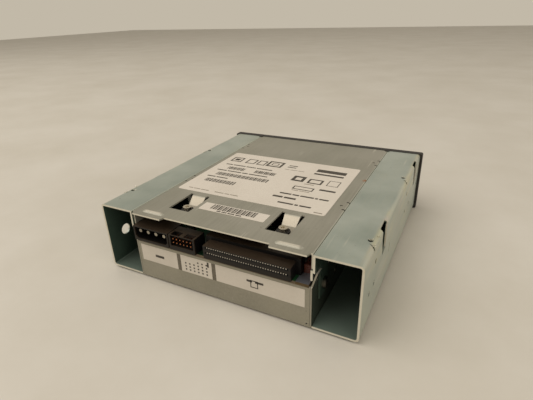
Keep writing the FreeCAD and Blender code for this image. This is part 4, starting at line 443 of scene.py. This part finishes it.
bracket = plated("bracket_zinc", deep="#8c968d", pale="#a5aca3", bloom="#aca98a",
                 bloom_share=0.35, metallic=0.45, rough=0.36, edge_axis=1)
low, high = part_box("left_bracket")
span_out = bracket.unsigned(bracket.at(0))
runs = bracket.span(bracket.noise(260, stretch=(1, 0.09, 0.7), detail=4), 0.42, 0.6)
runs = bracket.times(runs, bracket.span(span_out, high.x - RUNS_IN * MM,
                                        high.x - RUNS_OUT * MM))
patchy = bracket.span(bracket.noise(30, stretch=(1, 0.5, 1), detail=3), 0.35, 0.55)
drained = bracket.span(bracket.at(2), high.z - DRAIN_LOW * MM, high.z - DRAIN_HIGH * MM,
                       0.35, 0.8)
runs = bracket.times(bracket.times(runs, patchy), drained)
tint = bracket.blend(bracket.span(bracket.noise(75), 0.42, 0.58), colour("#c3bc97"),
                     colour("#c1b2a4"))
skin = bracket.blend(runs, bracket.skin, tint)
# Painted highlight: a bright line along the left bracket's inner top edge, by the case.
seam_highlight = bracket.span(bracket.at(0), low.x + SEAM_OUT * MM, low.x + SEAM_EDGE * MM)
seam_highlight = bracket.times(seam_highlight, bracket.span(bracket.at(0), low.x - STEP * MM, low.x))
seam_highlight = bracket.times(seam_highlight, bracket.beyond(2, SEAM_ABOVE))
skin = bracket.laid(skin, seam_highlight, 0.75, "#dad4c3")
# Painted light: faces that look sideways are painted lighter, as light bounced onto the sides.
skin = bracket.laid(skin, bracket.unsigned(bracket.side(0)), 0.35, "#c3cabd")
print("bracket skin, runs within", RUNS_IN, "mm of the outer wall")

# %% The inside of the brackets
# Painted shade: the inside of the channels is painted a much darker green.
within = bracket.times(
    bracket.span(span_out, high.x - WALL * MM, high.x - (WALL + STEP) * MM),
    bracket.span(span_out, low.x + 1.0 * MM, low.x + 1.1 * MM))
for level, sign in ((high.z / MM - WALL, -1), (low.z / MM + WALL, 1)):
    inner = bracket.span(bracket.at(2), level * MM, (level + sign * STEP) * MM)
    within = bracket.times(within, inner)
behind = bracket.span(bracket.at(1), high.y - STEP * MM, high.y - 2 * STEP * MM)
within = bracket.times(within, behind)
inner_shade = bracket.blend(bracket.span(bracket.noise(45, detail=3), 0.4, 0.6),
                       colour("#3c4b41"), colour("#485a4e"))
# Painted light: inside, the faces that look up are painted paler.
inner_floor_light = bracket.span(bracket.side(2), 0.4, 0.6)
inner_shade = bracket.blend(inner_floor_light, inner_shade, colour("#76857a"))
bracket.set(base_color=bracket.blend(within, skin, inner_shade))
bracket.wear("brackets", "left_bracket", "right_bracket")
print("brackets plated, inside from", round(high.x / MM - WALL, 1), "mm inwards")

# %% [markdown]
# ## Mouldings
#
# The bezel, its door and its key are near-black plastic with a fine spark-eroded grain.
# The sockets are a browner black and smoother. Both are the same recipe with other
# numbers, so one function makes them.

# %% Moulded plastic
def moulded(name, deep, pale, rough, grain=1600, depth=0.00003):
    """Moulded plastic: a fine even grain and a slight unevenness of colour."""
    plastic = Finish(name)
    clouds = plastic.noise(60, detail=3)
    pebble = plastic.noise(grain, detail=2)
    plastic.skin = plastic.blend(clouds, colour(deep), colour(pale))
    plastic.set(base_color=plastic.skin,
                roughness=plastic.span(pebble, 0.3, 0.7, rough - 0.06, rough + 0.06))
    plastic.bump(pebble, depth)
    return plastic


moulded("bezel_plastic", "#191613", "#211d19", 0.6).wear(
    "bezel", "bezel", "door", "eject_button")
print("bezel dressed")

# %% [markdown]
# ### The sockets
#
# Looking into a socket there is only darkness, and the front of a socket is darker than
# its top, which the light reaches. The finish can tell: it knows how far back a point lies,
# which way its face looks, and at which heights the two rows of slots are.

# %% Sockets
SOCKET_DEPTH = 0.5  # mm behind the power socket's face, where its inside starts
LIT_ABOVE = 32.4
SLOT_ROWS, SLOT_HALF, DATA_END_X = (31.2, 28.3), 0.75, 8
socket = moulded("socket_plastic", "#2b2219", "#372c20", 0.45, depth=0.00001)
face_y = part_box("power_connector")[1].y / MM
lit_top = socket.times(socket.span(socket.side(2), 0.4, 0.6), socket.beyond(2, LIT_ABOVE))
inside = socket.rest_of(socket.beyond(1, face_y - SOCKET_DEPTH))
facing = socket.times(socket.span(socket.side(1), 0.4, 0.6), 0.8)
upper_row, lower_row = [
    socket.patch((None, None, height), (None, None, SLOT_HALF), 0.1) for height in SLOT_ROWS]
rows = socket.sum(upper_row, lower_row, "MAXIMUM")
rows = socket.times(rows, socket.rest_of(socket.beyond(0, DATA_END_X)))
facing = socket.sum(facing, rows, "MAXIMUM")
inside = socket.times(socket.sum(inside, facing, "MAXIMUM"), socket.rest_of(lit_top))
socket.set(base_color=socket.blend(inside, socket.skin, colour("#0a0807")),
           specular_ior_level=0.3)
socket.wear("sockets", "power_connector", "jumper_header", "scsi_connector")
print("sockets dark behind", round(face_y - SOCKET_DEPTH, 1), "mm")

# %% Other mouldings
moulded("chip_plastic", "#1f2021", "#2a2b2c", 0.45).wear(
    "chips", "panel_parts", "board_parts")
moulded("gear_plastic", "#d3cfc2", "#e2ded2", 0.38, depth=0.00001).wear(
    "gears", "cam_gear", "intermediate_gear", "supply_reel", "takeup_reel")
moulded("rubber", "#181715", "#22201e", 0.72, grain=900).wear(
    "rubber", "shock_grommets", "pinch_roller")
moulded("guide_ceramic", "#e6e3da", "#f0eee6", 0.22, depth=0.000003).wear(
    "guides", "supply_roller", "takeup_roller")
moulded("pack_coating", "#54291c", "#6b3524", 0.3, depth=0.00001).wear(
    "pack", "resistor_pack")
moulded("head_ferrite", "#1b1b1d", "#2b2b2e", 0.2, depth=0.000002).wear(
    "heads", "drum_heads")
print("mouldings dressed")

# %% [markdown]
# ## The spring behind the eject key
#
# When the key is pressed its spring shortens, which a rigid solid can't do. So the solid
# is replaced by a coil. A coil is a round section spun about its axis while each step also
# moves it along, which is one call of the spin operator.

# %% A coil in place of the eject key's spring
COIL_TURNS, COIL_STEPS, WIRE_R, WIRE_SIDES = 3.5, 16, 0.3, 8
low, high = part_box("eject_spring")
middle, length = (low + high) / 2, high.y - low.y
steps = round(COIL_TURNS * COIL_STEPS)
shape = bmesh.new()
section = bmesh.ops.create_circle(shape, cap_ends=True, segments=WIRE_SIDES,
                                  radius=WIRE_R * MM)["verts"]
coil_r = (high.x - low.x) / 2 - WIRE_R * MM
bmesh.ops.translate(shape, verts=section, vec=(coil_r, 0, 0))
bmesh.ops.spin(shape, geom=shape.verts[:] + shape.edges[:] + shape.faces[:], cent=(0, 0, 0),
               axis=(0, 1, 0), angle=math.tau * COIL_TURNS, steps=steps,
               dvec=(0, (length - 2 * WIRE_R * MM) / steps, 0))
bmesh.ops.translate(shape, verts=shape.verts[:],
                    vec=(middle.x, low.y + WIRE_R * MM, middle.z))
bmesh.ops.recalc_face_normals(shape, faces=shape.faces[:])
eject_coil = made_piece("eject_coil", shape)
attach(eject_coil, "drive")
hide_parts("eject_spring")
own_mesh(eject_coil)

# %% [markdown]
# ## Turned, ground and cast metal
#
# Inside are shafts, wheels and castings. Each of these metals is a full metal whose
# roughness varies with a fine pattern: streaks for brushed and turned parts, and pebbles
# for cast ones.

# %% Metals
FINENESS = 700
EVEN = (1, 1, 1)


def metal(name, deep, pale, rough, stretch=(1, 1, 0.05), depth=0.00001):
    """Bare metal: a fine streaky or pebbled pattern in its colour and its roughness."""
    made = Finish(name, metallic=1.0)
    streaks = made.span(made.noise(FINENESS, stretch=stretch, detail=3), 0.3, 0.7)
    made.set(base_color=made.blend(streaks, colour(deep), colour(pale)),
             roughness=made.span(streaks, 0, 1, rough - 0.05, rough + 0.07))
    made.bump(streaks, depth)
    return made


metal("cast_frame", "#96948c", "#aeaca4", 0.5, stretch=EVEN, depth=0.00004).wear(
    "frame", "left_rail", "right_rail", "front_beam", "deck_plate", "motor_bracket")
metal("drum_alloy", "#b9babb", "#d2d3d4", 0.16, stretch=(1, 1, 40)).wear(
    "drum", "upper_drum", "lower_drum", "drum_base")
metal("motor_steel", "#8d8c88", "#a6a5a0", 0.34).wear(
    "motors", "drum_rotor", "capstan_flywheel", "loading_motor", "deck_studs")
metal("ground_steel", "#a9a8a4", "#c2c1bd", 0.15).wear(
    "shafts", "drum_shaft", "capstan_shaft", "pinch_arm", "supply_arm", "takeup_arm",
    "door_pin")
metal("spring_steel", "#8f8d88", "#b0aea8", 0.25).wear(
    "springs", "door_spring", "eject_spring", eject_coil)
metal("pressed_steel", "#a3a19a", "#bab8b0", 0.3, stretch=(1, 0.05, 1)).wear(
    "pressings", "threading_slide", "carriage_slides", "carriage_guides", "cassette_basket")
metal("bearing_bronze", "#8a6a3c", "#a8854f", 0.35, stretch=EVEN).wear(
    "bearings", "bearings")
metal("pinion_brass", "#a98546", "#c9a561", 0.22).wear("pinion", "motor_pinion")
metal("winding_copper", "#8e4a2a", "#b8693f", 0.3, stretch=(1, 1, 12)).wear(
    "windings", "motor_windings")
metal("screw_steel", "#b9b2a3", "#d6cfc0", 0.24, stretch=EVEN, depth=0.00002).wear(
    "mount screws", "shock_screws")
metal("dull_screw_steel", "#4f4c44", "#6b675d", 0.35, stretch=EVEN, depth=0.00002).wear(
    "side screws", "side_screws")
metal("pin_tin", "#8f887c", "#b3ad9f", 0.3).wear("power pins", "power_pins")
print("metals dressed")

# %% [markdown]
# ## Boards, contacts, film and lamps
#
# The circuit board is green on its faces and brown at its sawn edge, which a finish can
# tell from the way a face looks. The contacts are one part in two places, so their finish
# goes by where they are: the option pins are coppery and the data contacts are bright.

# %% Boards and contacts
PATCH_BEHIND, PATCH_PAST, OPTIONS_FROM_X = 66, -43, 8  # mm
board = Finish("board_laminate", roughness=0.35)
tracks = board.span(board.noise(450, stretch=(1, 0.25, 1), detail=1), 0.52, 0.56)
face = board.blend(tracks, colour("#16301e"), colour("#1f4528"))
sawn = board.span(board.unsigned(board.side(2)), 0.5, 0.4)
fibres = board.span(board.noise(1500, stretch=(0.1, 0.1, 1)), 0.3, 0.7)
edge = board.blend(fibres, colour("#4c3f2d"), colour("#66563d"))
# A grey, partly metallic patch on the board, behind y 66 mm and where x is below -43 mm.
grey_patch = board.times(board.beyond(1, PATCH_BEHIND),
                     board.rest_of(board.beyond(0, PATCH_PAST)))
face = board.blend(grey_patch, face, colour("#8d8f96"))
board.set(base_color=board.blend(sawn, face, edge), metallic=board.times(grey_patch, 0.7))
board.wear("boards", "main_board", "front_panel_board")

contact = Finish("contact_metal", metallic=1.0, roughness=0.25)
option_side = contact.beyond(0, OPTIONS_FROM_X)
tarnish = contact.noise(800, detail=2)
contact.set(base_color=contact.blend(
    option_side, contact.blend(tarnish, colour("#b9b4ad"), colour("#d5d0c8")),
    contact.blend(tarnish, colour("#a0623f"), colour("#c98a63"))))
contact.wear("contacts", "signal_pins")

film = Finish("cable_film", roughness=0.3)
lines = film.span(film.add("TexWave", {"Vector": film.place, "Scale": 500.0}), 0.45, 0.55)
film.set(base_color=film.blend(lines, colour("#a8722f"), colour("#c4914a")))
film.wear("cable", "front_flex_cable")

clear = Finish("light_pipe", roughness=0.12, transmission_weight=0.6)
haze = clear.noise(300)
clear.set(base_color=clear.blend(haze, colour("#dfe3de"), colour("#f0f3ef")))
clear.wear("pipes", "light_pipes")
print("boards, contacts, film and lenses dressed")

# %% [markdown]
# ## Stamped marks
#
# Beside each relief slot the press threw up a few burrs, each curling round about half of
# a small dimple. Only the burrs catch the light, so only they are made. A burr is a small
# round section spun part of the way round: the spin makes a curved ridge with both ends
# closed, which no bent cylinder would be.

# %% Burrs on the brackets
BURR_R, BURR_SIDES = 0.17, 8
BURR_ARC, BURR_STEPS = math.radians(215), 14
# Where each lies: x, y and radius in mm, and how far it is turned, in radians.
MARKS = ((69.7, 52.8, 1.0, 0.3), (72.2, 57.9, 0.8, 1.2), (72.3, 49.6, 0.7, 2.6),
         (69.9, -27.2, 0.9, 0.3), (72.0, -20.6, 0.8, 1.4))

bright_burr = Finish("burr_zinc", metallic=0.6, roughness=0.3)
glint = bright_burr.span(bright_burr.noise(1500, detail=2), 0.4, 0.6)
bright_burr.set(base_color=bright_burr.blend(glint, colour("#8b8a72"), colour("#e6e2d2")))


def burrs(name, side):
    """The burrs of one bracket; side is 1 or -1, and mirrors where they lie."""
    shape = bmesh.new()
    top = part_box("left_bracket")[1].z
    for x, y, radius, turn in MARKS:
        section = bmesh.ops.create_circle(shape, cap_ends=True, segments=BURR_SIDES,
                                          radius=BURR_R * MM)["verts"]
        upright = Matrix.Rotation(math.pi / 2, 3, "X")
        bmesh.ops.rotate(shape, verts=section, matrix=upright)
        bmesh.ops.translate(shape, verts=section, vec=(radius * MM, 0, 0))
        faces = list({face for v in section for face in v.link_faces})
        edges = list({edge for v in section for edge in v.link_edges})
        bmesh.ops.spin(shape, geom=section + edges + faces, cent=(0, 0, 0), axis=(0, 0, 1),
                       angle=BURR_ARC, steps=BURR_STEPS)
        new = [v for v in shape.verts if not v.tag]
        bmesh.ops.rotate(shape, verts=new, matrix=Matrix.Rotation(turn, 3, "Z"))
        bmesh.ops.translate(shape, verts=new, vec=(side * x * MM, y * MM, top))
        for v in new:
            v.tag = True
    bmesh.ops.recalc_face_normals(shape, faces=shape.faces[:])
    piece = made_piece(name, shape)
    bright_burr.wear(name, piece)
    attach(piece, "drive")
    print(name, len(piece.data.polygons), "faces")


burrs("left_burrs", 1)
burrs("right_burrs", -1)

# %% [markdown]
# ## Labels
#
# The labels are warm white stock with a faint fibre. What was printed on the real ones
# isn't copied: plain bars stand in for lines of words, and plain stripes and boxes for the
# rest, at about the same places, so that the labels are as busy as real ones.

# %% Label stock and ink
paper = Finish("label_stock", roughness=0.6)
fibre = paper.noise(700, detail=3)
smudge = paper.span(paper.noise(40, detail=4), 0.45, 0.75)
stock = paper.blend(fibre, colour("#c5bdb0"), colour("#d0c8bb"))
paper.set(base_color=paper.blend(paper.sum(smudge, 0.3, "MULTIPLY"), stock, colour("#b5ac9c")))
paper.bump(fibre, 0.00001)
paper.wear("labels", "rating_label", "serial_label", "rear_label")


def worn_ink(name, deep, pale, fineness=900):
    """Ink that is rubbed paler in small spots."""
    made = Finish(name, roughness=0.5)
    worn = made.span(made.noise(fineness, detail=2), 0.35, 0.7)
    made.set(base_color=made.blend(worn, colour(deep), colour(pale)))
    return made


ink = worn_ink("label_ink", "#2b261f", "#453f36")
pale_ink = worn_ink("pale_ink", "#776e60", "#91887a")
grey_ink = worn_ink("grey_ink", "#595246", "#6b6354", fineness=700)
print("stock and three inks")

# %% [markdown]
# ### Marks of ink
#
# Print could be part of the label's own finish, but then every bar would need nodes of its
# own. Plain marks are easier to make as thin patches of ink: squares from the grid
# operator, thickened, and placed on the label. Words, stripes and boxes are lists of them.

# %% A printed mark is a thin patch
INK_T = 0.02 * MM
INK_LIFT = 0.005 * MM


def printed(name, patches, to_label, finish):
    """Patches of ink, each (x, y, width, height) in mm on a label, as one piece.

    x runs to the reader's right and y up the label; to_label places them."""
    shape = bmesh.new()
    for x, y, width, height in patches:
        place = Matrix.Translation((x * MM, y * MM, INK_LIFT))
        size = Matrix.Diagonal((width * MM, height * MM, 1, 1))
        bmesh.ops.create_grid(shape, x_segments=1, y_segments=1, size=0.5,
                              matrix=place @ size)  # a square one unit wide
    bmesh.ops.solidify(shape, geom=shape.faces[:], thickness=INK_T)
    bmesh.ops.translate(shape, vec=(0, 0, INK_T), verts=shape.verts[:])
    bmesh.ops.transform(shape, matrix=to_label, verts=shape.verts[:])
    bmesh.ops.recalc_face_normals(shape, faces=shape.faces[:])
    piece = made_piece(name, shape)
    finish.wear(name, piece)
    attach(piece, "drive")
    print(name, len(patches), "patches")


def words(x, y, lengths, height, gap=0.8):
    """A line of words as bars, from x to the right."""
    line = []
    for length in lengths:
        line.append((x + length / 2, y, length, height))
        x += length + gap
    return line


def stripes(x, y, width, height, rhythm):
    """A block of stripes whose widths and gaps repeat a rhythm, in mm."""
    block, at, turn = [], 0.0, 0
    while at < width:
        bar, gap = rhythm[turn % len(rhythm)]
        block.append((x + at + bar / 2, y, bar, height))
        at += bar + gap
        turn += 1
    return block


def boxed(x, y, width, height, line):
    """The outline of a box, as four bars."""
    across, tall = width / 2 - line / 2, height / 2 - line / 2
    return [(x, y + tall, width, line), (x, y - tall, width, line),
            (x - across, y, line, height - 2 * line),
            (x + across, y, line, height - 2 * line)]


print("marks of ink ready")

# %% [markdown]
# ### The three labels
#
# The two labels on the plate are read from the sockets' side, so their right is -X and
# their top is -Y. The one on the rear wall is upside down, because the drive is.

# %% Printing on the rating label
# Places are mm from the label's left edge and mm below its top edge.
RHYTHM = ((0.5, 0.35), (0.25, 0.5), (0.8, 0.3), (0.25, 0.25), (0.5, 0.6), (1.0, 0.35))
BOXES = (  # x, y, width, height, line
    (8, 12.5, 8, 8, 1.0), (19, 12.5, 7, 8, 0.9), (27, 12.5, 6, 8, 0.9),
    (36.5, 11.5, 11, 9.5, 1.5), (36.5, 11.5, 5, 3.6, 0.6), (60.5, 28.7, 8, 8, 2.0),
    (71.5, 29.5, 9, 6.8, 1.2), (82.5, 28.6, 7, 8, 0.5), (68.5, 41.5, 12.5, 4.6, 0.8))
BARS = (  # x, y, width, height
    (8, 12.5, 3.4, 3.4), (49, 10, 6, 1.1), (49, 12.9, 6, 1.1), (75.5, 11.4, 19, 4.6),
    (75.5, 17.2, 19, 2.2), (82.4, 39.5, 9.5, 2.0))
STRIPES = (  # x, y, width, height, first step of the rhythm
    (10, 28.5, 12.5, 4.4, 0), (30, 28.5, 14, 4.4, 2), (8.5, 39.8, 36, 4.6, 0),
    (7.5, 51, 20, 4.6, 1))
LINES = (  # x, y, word lengths, height, gap
    (5, 22.8, (5, 9, 7, 11), 1.2, 0.8), (5, 33.8, (7, 10, 4, 13), 1.2, 0.8),
    (5, 45.3, (6, 8), 1.2, 0.8), (58.5, 51.5, (7, 4, 8, 1.6, 5.4), 1.5, 0.7),
    (56.5, 56.5, (6, 7), 1.9, 0.8), (62.5, 63, (9, 2, 6.5), 1.5, 0.8))
FAINT_LINES = (
    (5.6, 65.4, (3, 4.5, 5.2), 0.8, 0.6), (23.7, 65.4, (6, 3, 5), 0.8, 0.7),
    (84.6, 67, (4.6,), 0.9, 0.8), (46, 17, (3, 5, 4), 0.7, 0.6),
    (66.5, 34.8, (6,), 0.8, 0.8), (63, 45.4, (4, 6), 0.7, 0.8))


def on_plate(node):
    """Places a drawing on a label of the plate; its origin is the label's middle."""
    low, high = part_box(node)
    middle = Vector(((low.x + high.x) / 2, (low.y + high.y) / 2, high.z))
    return Matrix.Translation(middle) @ Matrix.Rotation(math.pi, 4, "Z")


low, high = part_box("rating_label")
wide, deep = (high.x - low.x) / MM, (high.y - low.y) / MM
left, top = -wide / 2, deep / 2
dark = [(left + x, top - y, width, height) for x, y, width, height in BARS]
for x, y, width, height, line in BOXES:
    dark += boxed(left + x, top - y, width, height, line)
for x, y, width, height, first in STRIPES:
    dark += stripes(left + x, top - y, width, height, RHYTHM[first:])
for x, y, lengths, height, gap in LINES:
    dark += words(left + x, top - y, lengths, height, gap)
faint = []
for x, y, lengths, height, gap in FAINT_LINES:
    faint += words(left + x, top - y, lengths, height, gap)
printed("rating_print", dark, on_plate("rating_label"), ink)
printed("rating_faint_print", faint, on_plate("rating_label"), pale_ink)

# %% Printing on the serial label
serial = stripes(-13.5, 0.9, 26.5, 5.2, RHYTHM)
serial += words(-8.5, -2.9, (2.5, 3, 4, 3.4), 0.9, 0.6)
printed("serial_print", serial, on_plate("serial_label"), ink)

# %% Printing on the rear label
# Places are mm from the label's middle.
DIVIDER_X, DIVIDER_W = (22.4, 0.9), 2.3
DOTS_AT, DOT_PITCH, DOT = (5.2, 3.1), (2.6, 1.9), 0.9
DOT_COLUMNS, DOT_ROWS = 6, 4  # the columns past the third have one dot less

low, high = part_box("rear_label")
rear_middle = Vector(((low.x + high.x) / 2, high.y, (low.z + high.z) / 2))
rear_turn = Matrix(((1, 0, 0), (0, 0, 1), (0, -1, 0))).to_4x4()
on_rear = Matrix.Translation(rear_middle) @ rear_turn
tall = (high.z - low.z) / MM
dividers = [(x, 0, DIVIDER_W, tall) for x in DIVIDER_X]
printed("rear_dividers", dividers, on_rear, grey_ink)
rear = words(32.6, 0.4, (5.8,), 1.5) + words(-27, -1.0, (4.5, 3.0), 1.2, 1.6)
rear += boxed(-22, 0.4, 4.2, 4.2, 0.5)
for column in range(DOT_COLUMNS):
    for row in range(DOT_ROWS - column // 3):
        rear.append((DOTS_AT[0] + DOT_PITCH[0] * column, DOTS_AT[1] - DOT_PITCH[1] * row,
                     DOT, DOT))
rear.append((4.2, -3.2, 1.1, 3.0))
printed("rear_print", rear, on_rear, ink)

# %% The end
print("scene built")
